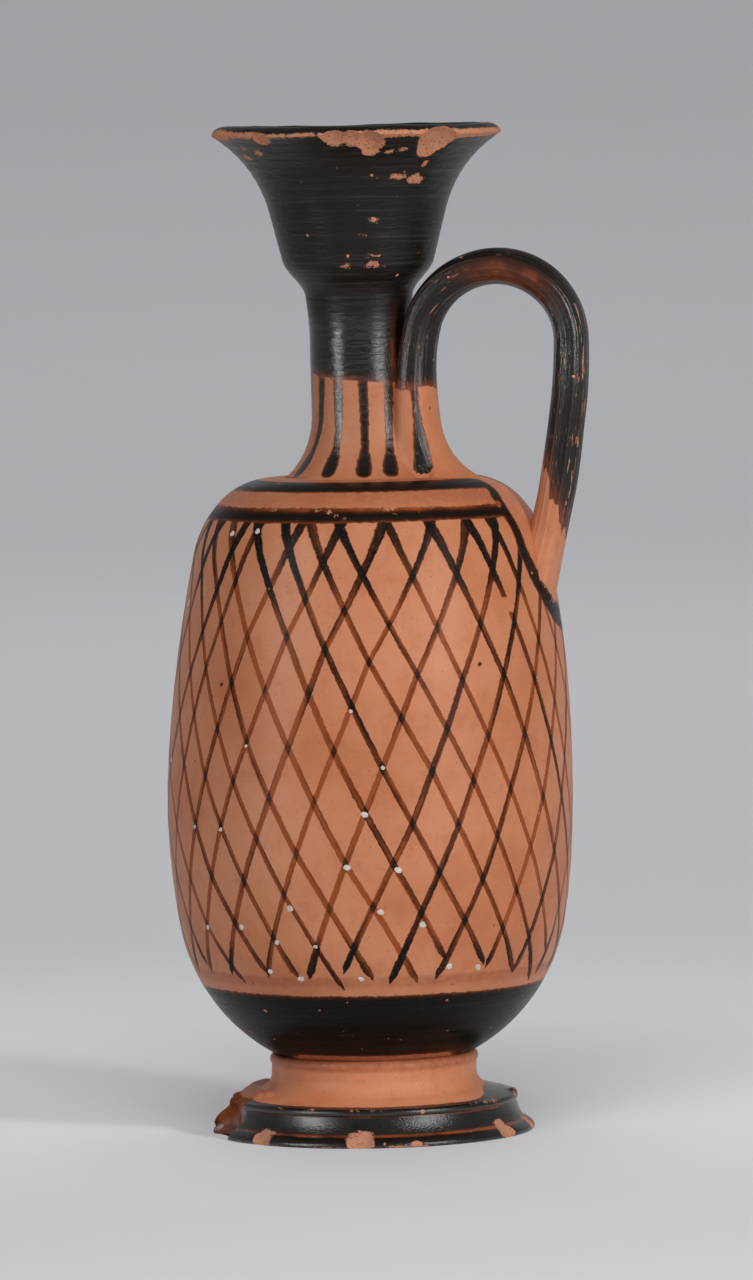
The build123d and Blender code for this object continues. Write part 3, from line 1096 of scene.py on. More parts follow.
    def shape(self, surface: Surface) -> None:
        """Chips the edge, crusts its worn side, and keeps the resting ring flat."""
        cover = self.crust(surface)
        under = np.flatnonzero(cover > 0.02)
        cover, level, radius = cover[under], surface.level[under], surface.radius[under]
        build = np.interp(level, *np.array(self.crust_build).T)
        build = (build + self.crust_lumps * rough(surface.points[under], 2.6, 3.0)) * cover
        slump = self.crust_slump * cover * ease(radius, 20.8, 22.5) * ease(level, 4.2, 4.8)
        surface.points[under, :2] *= (1 + build / radius)[:, None]
        heap = self.crust_heap * cover * ease(-surface.radius[under], -22.0, -20.0) * ease(level, 5.0, 5.8)
        surface.points[under, 2] += heap - slump
        wall = self.outer()[::-1]
        for chip in (*self.breaks, *self.chips):
            chip.bite(surface, wall)
        lump = on_turn(self.disc_radius - self.disc_bead_width, self.lump_angle, self.disc_level)
        near = np.exp(-(np.linalg.norm(surface.points - lump, axis=1) / self.lump_reach) ** 2)
        surface.points[:, 2] += self.lump_height * near
        surface.points[:, 2] = np.maximum(surface.points[:, 2], 0)


@dataclass(frozen=True)
class Strokes:
    """One family of the net's brush strokes, read off the front of the body.

    Each stroke is a chain of front angles and levels from its upper end down. The strokes on the far
    side follow evenly, at the family's own lean in degrees for each millimetre down.
    """

    lean: float
    seed: int
    read: tuple[Pairs, ...]
    # Each break: the stroke's number, its level and half its height
    gaps: Triples = ()
    mid_level: float = 60.0
    top_level: float = 98.4
    low_level: float = 26.6
    lowest_read: float = 31.0
    half_width: float = 0.47
    middle_radius: float = 31.0
    set_down: Pair = (83.0, 94.0)
    pressed: Pair = (93.0, 97.0)
    lifted: Pair = (-34.0, -28.0)
    dark_above: Pair = (83, 93)
    dark_below: Pair = (-35, -29)
    far_lowest: Pair = (25.2, 28.5)
    far_highest: float = 97.0

    def lines(self) -> list[tuple[Array, Array]]:
        """All the strokes round the body in order, as levels going up and the angles there."""
        front = [(np.array(s)[::-1, 1], np.array(s)[::-1, 0]) for s in self.read]
        middles = [self.at(line, self.mid_level) for line in front]
        gap = (middles[-1] - middles[0]) / (len(middles) - 1)
        rest = 360 - (middles[-1] - middles[0])
        count = round(rest / gap) - 1
        draw = np.random.default_rng(self.seed)
        for number in range(1, count + 1):
            angle = middles[-1] + rest * (number + draw.uniform(-0.12, 0.12)) / (count + 1)
            levels = np.array([draw.uniform(*self.far_lowest), self.mid_level, self.far_highest])
            lean = self.lean * (0.78 + 0.22 * min(number / 5, 1) + draw.uniform(-0.05, 0.05, 3))
            front.append((levels, angle + lean * (self.mid_level - levels)))
        return front

    @staticmethod
    def at(line: tuple[Array, Array], level: Array) -> Array:
        """A stroke's angle at a level, straight on past its ends."""
        levels, angles = line
        low = (angles[1] - angles[0]) / (levels[1] - levels[0])
        high = (angles[-1] - angles[-2]) / (levels[-1] - levels[-2])
        inside = np.interp(level, levels, angles)
        return inside + np.minimum(level - levels[0], 0) * low + np.maximum(level - levels[-1], 0) * high

    def lay(self, angle: Array, level: Array, radius: Array) -> tuple[Array, Array, Array, int]:
        """Lays the strokes on a wall.

        Args:
            angle: front angles of the wall's points.
            level: their levels.
            radius: their distances from the axis.

        Returns:
            Each point's place across the strokes, in half widths with a period to each stroke, the tone
            of the nearest stroke, how far it is from that stroke's ends, and the number of strokes.
        """
        lines = self.lines()
        draw = np.random.default_rng(self.seed + 1)
        slant = cos(np.arctan(radians(abs(self.lean)) * self.middle_radius))
        half = NET_PERIOD / 2
        best = np.full(len(angle), 1e9)
        place, tone, end = np.zeros((3, len(angle)))
        for number, line in enumerate(lines):
            low_end = line[0][0] if line[0][0] < self.lowest_read else self.low_level
            gap = np.radians(turn_from(angle, self.at(line, level))) * radius * slant
            width = self.half_width * draw.uniform(0.88, 1.15)
            width = width * (1 + 0.30 * ease(level, *self.set_down) + 0.35 * ease(level, *self.pressed))
            width = width * (1 + draw.uniform(0.0, 0.4) * ease(-level, *self.lifted))
            width = width * np.clip((level - low_end) / 1.2, 0.25, 1)
            left = np.minimum(level - low_end, self.top_level - level)
            for stroke, gap_level, half_gap in self.gaps:
                if stroke == number:
                    left = np.minimum(left, np.abs(level - gap_level) - half_gap)
            dark = draw.uniform(-0.22, 0.46) + draw.uniform(0.5, 0.95) * ease(level, *self.dark_above)
            dark = dark + draw.uniform(0.15, 0.9) * ease(-level, *self.dark_below)
            dark = dark + 0.18 * np.sin(level / draw.uniform(5, 9) + draw.uniform(0, tau))
            nearer = np.abs(gap) < best
            best[nearer] = np.abs(gap)[nearer]
            place[nearer] = number * NET_PERIOD + np.clip(gap / width, -half, half)[nearer]
            tone[nearer] = dark[nearer]
            end[nearer] = left[nearer]
        return place, tone, end, len(lines)


FALLING = Strokes(0.93, 21, (
    ((-65, 43), (-57, 34.5), (-45, 25.6)),
    ((-66.6, 60.5), (-51.6, 42.3), (-34.3, 27.3)),
    ((-69, 77), (-53.8, 58.6), (-38, 41.4), (-23.8, 26.8)),
    ((-73.2, 96), (-57, 75), (-41.6, 57.7), (-25.4, 40), (-9.3, 25)),
    ((-64.3, 96), (-52, 82.7), (-37, 63.6), (-20.4, 45.9), (0, 26.6)),
    ((-53.8, 96), (-40, 80.5), (-23.8, 63.4), (-7, 45), (14, 26)),
    ((-41.6, 96.6), (-26, 80.5), (-10.4, 62.7), (6.8, 44.5), (22.3, 29.5)),
    ((-30, 97), (-13.8, 78.6), (3.4, 60), (20, 42.7), (36.2, 28.2)),
    ((-20.4, 97.3), (-1, 76.8), (17.3, 59.5), (33.4, 41.8), (49.6, 26.4)),
    ((-10.4, 97.3), (13.2, 74.5), (30, 57.7), (45.7, 40), (61.8, 24.5)),
    ((6.2, 97.3), (26.8, 73.6), (43, 55.9), (59, 37.7), (66.8, 29)),
    ((21.2, 97), (41.8, 73.6), (57.3, 54), (64, 46)),
    ((37.3, 95.5), (54.6, 73.6), (70.7, 52)),
    ((46.2, 96.8), (59, 79.5), (72.9, 59.5)),
), gaps=((12, 84.5, 1.0),))
RISING = Strokes(-0.80, 31, (
    ((-42, 96.6), (-57, 75.5), (-71, 51.4)),
    ((-25.4, 96.4), (-40, 80.5), (-53.8, 58.2), (-69, 34)),
    ((-10.4, 97.3), (-26, 80.5), (-41.6, 58.2), (-57.7, 34)),
    ((4, 97.3), (-13.8, 78.6), (-28.8, 55.9), (-50.4, 26.8)),
    ((20.7, 97), (-1, 76.4), (-15.4, 55.5), (-34.9, 26.8)),
    ((34, 96.8), (12.9, 74), (-1.6, 53), (-20.4, 26.8)),
    ((47.3, 96.8), (27.3, 73.6), (11.8, 51.4), (-9.3, 27.7)),
    ((56, 91.8), (41.2, 73), (25, 50.5), (5, 26)),
    ((63.4, 84), (49, 64), (33, 41.8), (19.6, 26.4)),
    ((69.6, 74), (57.3, 54), (45.7, 39.5), (36.8, 27.7)),
    ((76, 65), (64, 44.5), (49.6, 26.4)),
))


@dataclass
class Body(Thrown):
    """The body: floor, wall and shoulder thrown as one, with the net, the bands and the handle's frame."""

    node: str = "body"
    slot: str = "clay_body"
    facets: int = 352
    step: float = 0.55
    inner_step: float = 3.0
    wobble: float = 0.010
    wobble_scale: float = 30.0
    ridge: float = 0.0010
    ridge_pitch: float = 5.2
    seed: float = 2.0
    seat_radius: float = 15.75
    # Radius and height above the foot's seat, then radius and drop below the neck's seat
    belly: Pair = (30.6, 20.7)
    widest: Pair = (32.2, 39.8)
    shoulder_drops: Pairs = ((28.2, 12.0), (24.0, 3.7), (17.5, 0.1))
    flare_radius: float = 12.6
    opening_radius: float = 5.6
    wall: float = 3.0
    floor: float = 3.2
    belly_gloss: Pair = (12.2, 24.1)
    belly_rise: float = 3.0
    belly_rise_reach: Pair = (-65.0, -15.0)
    belly_dull: Pair = (-21.0, -16.0)
    base_wash: Pair = (-15.8, -13.6)
    pit_radius: float = 0.42
    wash_band: Pair = (25.6, 27.2)
    lower_band: Pair = (97.95, 100.15)
    upper_band_level: float = 102.4
    upper_band_radius: float = 17.4
    frame_samples: int = 320
    # Turn from the handle, level and half the width of the line
    frame_line: Triples = (
        (-11.5, 103.4, 1.2), (-14, 102, 1.2), (-16.8, 100.9, 1.2), (-17.8, 98.9, 1.25),
        (-17.3, 97, 1.25), (-16.5, 92.6, 1.3), (-12.2, 88.7, 1.6), (-5.8, 85.2, 1.9),
        (0.2, 82.8, 2.1), (9, 81, 2), (14, 83, 1.7), (17.5, 88, 1.4), (18, 93, 1.3),
        (17.8, 98.9, 1.25), (14, 102, 1.2), (11.5, 103.4, 1.2),
    )
    pits: Pairs = ((-49.0, 73.0), (33.4, 75.6))
    flakes: tuple[Flake, ...] = (
        Flake(-12.5, 98.9, 0.9, 0.5), Flake(-9.5, 98.6, 0.6, 0.4), Flake(-20, 100, 1.2, 0.5),
        Flake(-15, 99.6, 0.8, 0.5), Flake(8, 100.1, 1.4, 0.4), Flake(24, 99.9, 1, 0.4),
        Flake(-38, 100, 1, 0.4),
    )
    finish: PaintedClay = PaintedClay(
        "clay_body", gloss_roughness=0.28, sparkle=1.0, flecks=0.9, lines=1.4, gloss_sheen=0.09,
        wear=0.035, dull_roughness=0.30, dull_sheen=0.04, net=True,
    )

    def halves(self, step: float) -> tuple[Outline, Outline]:
        """The wall's outline from its widest level, down to the foot and up to the neck."""
        widest = (self.widest[0], BODY_BASE + self.widest[1])
        low = Outline(widest, step)
        low.arc((self.belly[0], BODY_BASE + self.belly[1]), (self.seat_radius, BODY_BASE), heading=DOWN)
        shoulder = [(radius, SHOULDER - drop) for radius, drop in self.shoulder_drops]
        return low, Outline(widest, step).arc(*shoulder, (self.flare_radius, SHOULDER))

    def outer(self) -> Array:
        """From the foot's seat up the wall and over the shoulder to the neck's seat."""
        low, high = self.halves(self.step)
        return np.concatenate([low.array()[::-1], high.array()[1:]])

    def inner(self) -> Array:
        """In under the neck, down the hollow, and across the floor and the foot's seat."""
        low, high = self.halves(self.inner_step)
        wall = np.concatenate([high.array()[::-1], low.array()[1:]])
        hollow = wall + normals(wall) * self.wall
        hollow = hollow[hollow[:, 1] > BODY_BASE + self.floor]
        start = Outline((self.opening_radius, SHOULDER), self.inner_step)
        start.line((self.opening_radius, hollow[0, 1]))
        floor = Outline((0, BODY_BASE + self.floor), self.inner_step)
        under = Outline((0, BODY_BASE), self.inner_step).line((self.seat_radius, BODY_BASE))
        return np.concatenate([start.array(), hollow, floor.array(), under.array()])

    def paint(self, surface: Surface, shown: Array) -> None:
        """Bands, belly, the handle's frame and the net."""
        level, angle, radius = surface.level, surface.angle, surface.radius
        low, high = self.belly_gloss
        lower = low + self.belly_rise * ease(-np.abs(angle), *self.belly_rise_reach) + wander(angle, 1, 0.15)
        belly = np.minimum(level - lower, high + wander(angle, 2, 0.12) - level)
        outside = self.outside_frame(angle, level, radius)
        band_low, band_high = self.lower_band
        below = band_high + wander(angle, 6, 0.12) - level
        lower = np.minimum(level - band_low - wander(angle, 4, 0.14), below)
        upper = np.minimum(radius - self.upper_band_radius, self.upper_band_gap(radius, angle))
        bands = np.minimum(np.maximum(lower, upper), outside + 0.6)
        gloss = np.maximum(np.maximum(belly, bands), self.framed(surface))
        for pit_angle, pit_level in self.pits:
            gap = np.hypot(np.radians(angle - pit_angle) * radius, level - pit_level) + np.where(shown, 0, 99)
            pit = surface.points[gap.argmin()]
            gloss = np.maximum(gloss, self.pit_radius - np.linalg.norm(surface.points - pit, axis=1))
        surface.mark(Mark.GLOSS, np.clip(gloss, FAR, 3), shown)
        unframed = shown & (outside > 0)
        fade = hump(level, band_high - 1.15, band_high, band_high, band_high + 0.6)
        surface.mark(Mark.THIN, fade * (0.75 + wander(angle, 8, 0.4)), unframed)
        wash_low, wash_high = self.wash_band
        wash = hump(level, wash_low - 0.3, wash_low + 0.1, wash_high - 0.1, wash_high + 0.3)
        surface.mark(Mark.WASH, (0.7 + wander(angle, 14, 0.3)) * wash, shown)
        surface.mark(Mark.DULL, ease(-level, *self.belly_dull))
        surface.mark(Mark.WASH, 0.7 * ease(-level, *self.base_wash), shown)
        surface.mark(Mark.WASH, 0.55 * ease(level, band_high - 0.8, band_high + 1), unframed)
        self.paint_net(surface, unframed)

    def upper_band_gap(self, radius: Array, angle: Array) -> Array:
        """How far inside the upper band's outer edge a point lies, along the shoulder."""
        _, high = self.halves(self.step)
        line = high.array()
        reach = np.interp(self.upper_band_level, line[:, 1], line[:, 0])
        return (reach + wander(angle, 5, 0.18) - radius) * 1.1

    def outside_frame(self, angle: Array, level: Array, radius: Array) -> Array:
        """How far points lie outside the handle's frame, along the wall."""
        line = np.array(self.frame_line)
        lowest = line[:, 1].argmin()
        left, right = line[: lowest + 1][::-1], line[lowest:]
        off = turn_from(angle, HANDLE_ANGLE)
        beyond = np.maximum(np.interp(level, left[:, 1], left[:, 0]) - off,
                            off - np.interp(level, right[:, 1], right[:, 0]))
        return np.where(level > line[lowest, 1], np.radians(beyond) * radius, 9.0)

    def framed(self, surface: Surface) -> Array:
        """How far points lie inside the painted line of the handle's frame."""
        off, level, half = resample(np.array(self.frame_line), self.frame_samples).T
        wall = self.outer()
        wall = wall[: wall[:, 1].argmax()]
        path = on_turn(np.interp(level, wall[:, 1], wall[:, 0]), HANDLE_ANGLE + off, level)
        gap, nearest = surface.near(path).T
        return half[nearest.astype(int)] - gap

    def paint_net(self, surface: Surface, shown: Array) -> None:
        """Keeps both families of strokes on the mesh, across and by tone."""
        corners = read_all(surface.mesh.loops, "vertex_index", np.int32)
        starts = read_all(surface.mesh.polygons, "loop_start", np.int32)
        sizes = np.diff(np.append(starts, len(corners)))
        places, tones, ends = [], [], []
        for family in (FALLING, RISING):
            place, tone, end, count = family.lay(surface.angle, surface.level, surface.radius)
            full = count * NET_PERIOD
            at = place[corners]
            first = np.repeat(at[starts], sizes)
            places.append(first + (at - first + full / 2) % full - full / 2)
            tones.append(tone)
            ends.append(np.where(shown, end, FAR))
        surface.write("net", np.stack([*places, ends[0][corners]], 1), "FLOAT_VECTOR", "CORNER")
        surface.write("net_tone", np.stack([*tones, ends[1]], 1), "FLOAT_VECTOR")


@dataclass
class Neck(Thrown):
    """The neck: a waisted tube, black above and striped with tongues below."""

    node: str = "neck"
    slot: str = "clay_neck"
    step: float = 0.3
    bore_radius: float = 4.8
    waist_radius: float = 7.95
    waist_drop: float = 7.0
    top_radius: float = 8.45
    flare_start_radius: float = 8.3
    flare_height: float = 9.6
    flare_radius: float = 12.6
    skirt_radius: float = 14.2
    gloss_level: float = 119.6
    gloss_slope: float = -0.012
    # Front angles of each tongue's upper and lower end
    tongues: Pairs = (
        (-51.2, -65), (-27.8, -31.8), (1.5, -3.5), (32, 17), (-79, -97), (-107, -128),
        (-136, -152), (-165, -177), (-194, -203), (-222, -229), (-251, -252),
    )
    tongue_half_width: float = 0.80
    tongue_waist: float = 0.15
    tongue_bend: float = 1.6
    drop_half_width: float = 1.30
    waisted: Pair = (0.3, 0.7)
    dropped: Pair = (0.72, 0.95)
    seam_angle: float = 40.0
    seam_levels: tuple[float, ...] = (112.0, 119.0, 121.0, 134.0)
    dull_above: Pair = (126.0, 132.0)
    # painted shade: the neck's clay is painted darker to stand in for less light reaching it
    finish: PaintedClay = PaintedClay(
        "clay_neck", painted_light_gain=0.9, gloss_roughness=0.13, sparkle=1.8, lines=2.4, flecks=0.3, rubbed=0.4,
        gloss_sheen=0.75,
    )

    def outer(self) -> Array:
        """From the mouth's seat down the tube to where its slip is smoothed on to the shoulder."""
        waist = (self.waist_radius, NECK_TOP - self.waist_drop)
        high = Outline(waist, self.step).arc((self.top_radius, NECK_TOP), heading=UP)
        low = Outline(waist, self.step)
        low.arc((self.flare_start_radius, NECK_BASE + self.flare_height), heading=DOWN)
        low.arc((self.flare_radius, NECK_BASE + 0.25))
        low.curve((self.skirt_radius, SHOULDER - 0.1), (1.0, -0.12))
        return np.concatenate([high.array()[::-1], low.array()[1:]])

    def inner(self) -> Array:
        """Under the flare and up the bore."""
        low = SHOULDER - 0.35
        line = Outline((self.skirt_radius - 0.4, low), self.inner_step)
        line.line((self.bore_radius, low), (self.bore_radius, NECK_TOP), (self.top_radius, NECK_TOP))
        return line.array()

    def paint(self, surface: Surface, shown: Array) -> None:
        """The black of the upper neck and the tongues under it."""
        level, angle = surface.level, surface.angle
        edge = self.gloss_level + self.gloss_slope * np.clip(angle, -90, 90) + wander(angle, 7, 0.25)
        gloss = level - edge
        radii, heights = self.outer()[::-1].T
        for high_angle, low_angle in self.tongues:
            levels = np.linspace(self.gloss_level + 1, NECK_BASE + 0.9, 70)
            share = (levels[0] - levels) / (levels[0] - levels[-1])
            angles = high_angle + (low_angle - high_angle) * share ** self.tongue_bend
            gap, nearest = surface.near(on_turn(np.interp(levels, heights, radii), angles, levels)).T
            reach = nearest / len(levels)
            width = self.tongue_half_width - self.tongue_waist * ease(reach, *self.waisted)
            swell = self.drop_half_width - self.tongue_half_width + self.tongue_waist
            width = width + swell * ease(reach, *self.dropped)
            gloss = np.maximum(gloss, width - gap)
        surface.mark(Mark.GLOSS, np.clip(gloss, FAR, 3), shown)
        beside = ease(-np.abs(angle - self.seam_angle), -8, -1) * hump(level, *self.seam_levels)
        surface.mark(Mark.THIN, 0.66 * beside, shown)
        surface.mark(Mark.THIN, 0.55 * hump(level - edge, -0.9, -0.3, 0.0, 1.6), shown)
        surface.mark(Mark.DULL, ease(level, *self.dull_above))


@dataclass
class Mouth(Thrown):
    """The mouth: a steep cup that flares to a rolled, much chipped lip."""

    node: str = "mouth"
    slot: str = "black_gloss_mouth"
    facets: int = 360
    step: float = 0.38
    inner_step: float = 0.8
    neck_radius: float = 8.45
    throat_radius: float = 5.2
    throat_height: float = 1.2
    cup_radius: float = 12.0
    cup_corner_height: float = 5.6
    cone_radius: float = 14.0
    cone_height: float = 13.4
    rim_radius: float = 22.9
    lip_height: float = 1.5
    lip_roll: float = 2.2
    lip_inner_roll: float = 1.4
    lip_inner_drop: float = 0.9
    lip_step: float = 0.4
    lip_turns: int = 9
    uneven_from: Pair = (8, 1)
    wall: float = 2.6
    chips: tuple[Scoop, ...] = (
        Scoop(35.8, 157.6, 3.1, 1), Scoop(34.5, 156.1, 1.9, 0.6, 2), Scoop(5.5, 157.3, 2.1, 0.7),
        Scoop(6.5, 156.2, 1.4, 0.4, 2), Scoop(-8.5, 158.2, 2, 0.4), Scoop(-1.5, 157.9, 1.6, 0.4),
        Scoop(-42.5, 158.1, 1.5, 0.4), Scoop(19, 158.7, 1, 0.25, 1), Scoop(150, 157.4, 3, 0.9),
        Scoop(-120, 157.9, 2.6, 0.6), Scoop(100, 158, 2, 0.5),
    )
    flakes: tuple[Flake, ...] = (
        Flake(35, 151.2, 2.8, 1.6), Flake(24, 151.5, 3.4, 0.6), Flake(10.2, 144.8, 1.5, 1),
        Flake(10.8, 137.8, 2.2, 1.3), Flake(-10.5, 137.6, 1.7, 0.7), Flake(1.5, 142.6, 1.4, 0.5),
        Flake(-52.2, 155.8, 2.2, 1), Flake(-66.2, 155, 1.8, 0.8), Flake(37.8, 153.6, 0.8, 0.8),
        Flake(16, 155.7, 1.3, 0.6), Flake(22.2, 156.1, 1.6, 0.8), Flake(12, 139.2, 1.6, 0.5),
        Flake(-61, 156.4, 1.5, 0.7),
    )
    lip_wear: float = 0.80
    finish: PaintedClay = PaintedClay(
        "black_gloss_mouth", sparkle=1.8, lines=4.0, flecks=1.0, rubbed=0.6, wear=0.02,
    )

    def seams(self) -> tuple[Array, Array, float]:
        """The cup's corner, the cone's top and the rim's level."""
        corner = np.array([self.cup_radius, MOUTH_BASE + self.cup_corner_height])
        cone = np.array([self.cone_radius, MOUTH_BASE + self.cone_height])
        return corner, cone, span(self.node)[1]

    def outer(self) -> Array:
        """From the neck's seat up the cup and its flare to the lip's crest."""
        corner, cone, rim = self.seams()
        line = Outline((self.neck_radius, NECK_TOP), self.step)
        line.curve(corner, cone - corner, heading=UP).line(cone)
        line.arc((self.rim_radius, rim - self.lip_height))
        turns = np.linspace(0, pi / 2, self.lip_turns)[1:]
        lip = np.stack([self.rim_radius - self.lip_roll * (1 - np.cos(turns)),
                        rim - self.lip_height * (1 - np.sin(turns))], 1)
        return np.concatenate([line.array(), lip])

    def inner(self) -> Array:
        """From the crest down the inside of the cup, through the throat and back under it."""
        corner, cone, rim = self.seams()
        crest = np.array([self.rim_radius - self.lip_roll, rim])
        lip = crest - (self.lip_inner_roll, self.lip_inner_drop)
        inset = np.array([self.wall, 0])
        flare = Outline(cone - inset, self.inner_step).arc(lip, heading=cone - corner)
        top = Outline(crest, self.lip_step).curve(lip, -flare.heading, heading=(-1, 0))
        throat = Outline((self.throat_radius, NECK_TOP + self.throat_height + 0.4), self.inner_step)
        throat.curve(corner - inset, cone - corner, heading=UP)
        down = np.concatenate([top.array()[1:], flare.array()[::-1][1:], throat.array()[::-1]])
        end = Outline(down[-1], self.inner_step)
        end.line((self.throat_radius, NECK_TOP), (self.neck_radius, NECK_TOP))
        return np.concatenate([down, end.array()[1:]])

    def paint(self, surface: Surface, shown: Array) -> None:
        """Black all over, worn along the lip."""
        level, angle, radius = surface.level, surface.angle, surface.radius
        rim = self.seams()[2]
        surface.mark(Mark.GLOSS, np.full(len(level), 3.0))
        surface.mark(Mark.DULL, np.ones(len(level)))
        edge = rim - self.lip_height + 0.1
        gap = np.hypot(level - edge, 0.6 * (radius - self.rim_radius))
        width = self.lip_wear + wander(angle, 13, 0.45) - 0.45 * ease(angle, 40, 60)
        surface.mark(Mark.BARE, np.clip(width - gap, FAR, 0.4), shown)

    def shape(self, surface: Surface) -> None:
        """Lets the lip run uneven and chips it."""
        rim = self.seams()[2]
        low, high = self.uneven_from
        share = ease(surface.level, rim - low, rim - high)
        surface.points[:, 2] += share * (wander(surface.angle, 23, 0.22) - 0.25)
        wall = self.outer()
        for chip in self.chips:
            chip.bite(surface, wall)


@dataclass
class Handle:
    """The handle: a pulled strap, pressed to the neck, looped and smoothed on to the body."""

    neck: Neck
    body: Body
    node: str = "handle"
    slot: str = "black_gloss_handle"
    width: float = 7.4
    thickness: float = 5.6
    root_turn: float = 13.0
    root_radius: float = 9.8
    root_height: float = 8.1
    tail_reach: float = 4.2
    tail_drop: float = 1.9
    tail_bury: float = 3.0
    # Distance out and rise above the neck's top
    loop_knots: Pairs = ((11.3, -4.4), (23.0, 4.8), (34.35, -7.1), (33.3, -17.6))
    base_radius: float = 29.7
    base_end_radius: float = 25.4
    base_end_drop: float = 26.5
    root_twist: float = 22.0
    twist_end: Pair = (26.0, 46.0)
    root_pull: float = 0.7
    root_spread: float = 0.30
    spread_end: Pair = (6.0, 28.0)
    step: float = 0.42
    facets: int = 128
    sink: float = 0.3
    base_smear: Pair = (0.7, 1.6)
    tail_smear: Pair = (1.6, 1.0)
    base_fit: Pair = (32, 20)
    tail_fit: Pair = (-16, -6)
    root_gloss_level: float = 118.2
    frame_narrowing: float = 1.1
    handled: float = 0.7
    # Shares of the strap's length, and the lowest level of the leg's scrapes
    bend: tuple[float, ...] = (0.47, 0.53, 0.57, 0.68)
    crown: tuple[float, ...] = (0.32, 0.40, 0.46, 0.55)
    loop_start: float = 0.22
    leg_start: float = 0.52
    leg_low: float = 91
    # Ribs round the strap, their depth and where they start
    ribs: Triples = (
        (3, 0.024, 0.5), (5, 0.016, 2), (9, 0.012, 0), (17, 0.010, 1), (29, 0.006, 2),
    )
    ribbed_from: Pair = (16.0, 34.0)
    # Turn round the strap, and the level at which its black ends there
    ragged_ends: Pairs = (
        (0, 107.5), (22, 106), (60, 104.2), (80, 101.2), (103, 99.4), (114, 98.2), (143, 95.4), (180, 94.5),
        (230, 95), (290, 98), (330, 102), (360, 107.5),
    )
    # Level, distance out and half width
    tongue: Triples = (
        (118.8, 9.5, 0.75), (115.8, 9.6, 0.50), (111.5, 9.8, 0.85), (107.5, 10.1, 1.35), (105.6, 10.2, 1.55),
        (104.6, 10.2, 0.9),
    )
    # Turn round the strap, and how deep the scrape is
    leg_scrapes: Pairs = ((143, -0.12), (118, -0.34), (78, -0.36), (48, -0.33), (165, -0.30))
    loop_scrapes: Pairs = ((60, -0.36), (25, -0.33), (100, -0.42))
    finish: PaintedClay = PaintedClay(
        "black_gloss_handle", gloss_roughness=0.15, sparkle=1.8, lines=2.2, flecks=1.0, gloss_sheen=0.95,
        rubbed=0.10, wear=0.10, dull_roughness=0.45, dull_sheen=0.08, streaks=Streaks.ALONG,
    )

    def middle(self) -> Array:
        """The strap's middle line, as distance out and level, from the tail by the neck to the base."""
        root = (self.root_radius, NECK_BASE + self.root_height)
        tail = Outline(root, self.step)
        tail.arc((self.root_radius + self.tail_reach, NECK_BASE - self.tail_drop), heading=DOWN)
        tail.line(tail.points[-1] + tail.heading * self.tail_bury)
        knots = [(out, NECK_TOP + rise) for out, rise in self.loop_knots]
        base_end = (self.base_end_radius, SHOULDER - self.base_end_drop)
        loop = Outline(root, self.step).arc(*knots, base_end, heading=UP)
        return np.concatenate([tail.array()[::-1], loop.array()[1:]])

    def axes(self) -> tuple[Array, Array, Array]:
        """The upright plane's origin, its way out and its way across."""
        turn = radians(-self.root_turn)
        root = np.array([cos(turn), sin(turn), 0]) * self.root_radius
        base = np.array([self.base_radius, 0, 0])
        out = (base - root) / np.linalg.norm(base - root)
        return base - out * self.base_radius, out, np.cross(out, (0, 0, 1))

    def wall_gap(self, points: Array) -> tuple[Array, Array]:
        """How far points stand off the body and the neck, and the wall's outward ways there."""
        body = self.body.outer()
        neck = self.neck.outer()[::-1]
        wall = np.concatenate([body[body[:, 0] > self.neck.skirt_radius], neck])
        flat = np.stack([np.hypot(points[:, 0], points[:, 1]), points[:, 2]], 1)
        nearest = np.linalg.norm(flat[:, None] - wall[None], axis=2).argmin(1)
        way = normals(wall)[nearest]
        gap = ((flat - wall[nearest]) * way).sum(1)
        around = points[:, :2] / np.hypot(points[:, 0], points[:, 1])[:, None]
        return gap, np.column_stack([around * way[:, :1], way[:, 1]])

    def build(self) -> tuple[Object, Surface]:
        """Pulls the strap, fits its ends and paints it.

        Returns:
            The piece and its finished surface.
        """
        points, around, along = self.pull()
        full = float(along[-1])
        faces = self.skin(len(points) // self.facets)
        caps = [points[: self.facets].mean(0), points[-self.facets:].mean(0)]
        piece = new_piece(f"{self.node}_strap", (np.vstack([points, caps]) * MM).tolist(), faces)
        piece.data.materials.append(self.finish.build())
        piece.data.polygons.foreach_set("use_smooth", np.ones(len(faces), bool))
        face_out(piece.data)
        surface = Surface(piece)
        around, along = np.append(around, [0, 0]), np.append(along, [0, full])
        self.paint(surface, around, along, full)
        grain = np.stack([along, np.cos(around), np.sin(around)], 1)
        surface.write("grain", grain, "FLOAT_VECTOR")
        surface.store()
        seat(piece, self.slot, self.node)
        return piece, surface

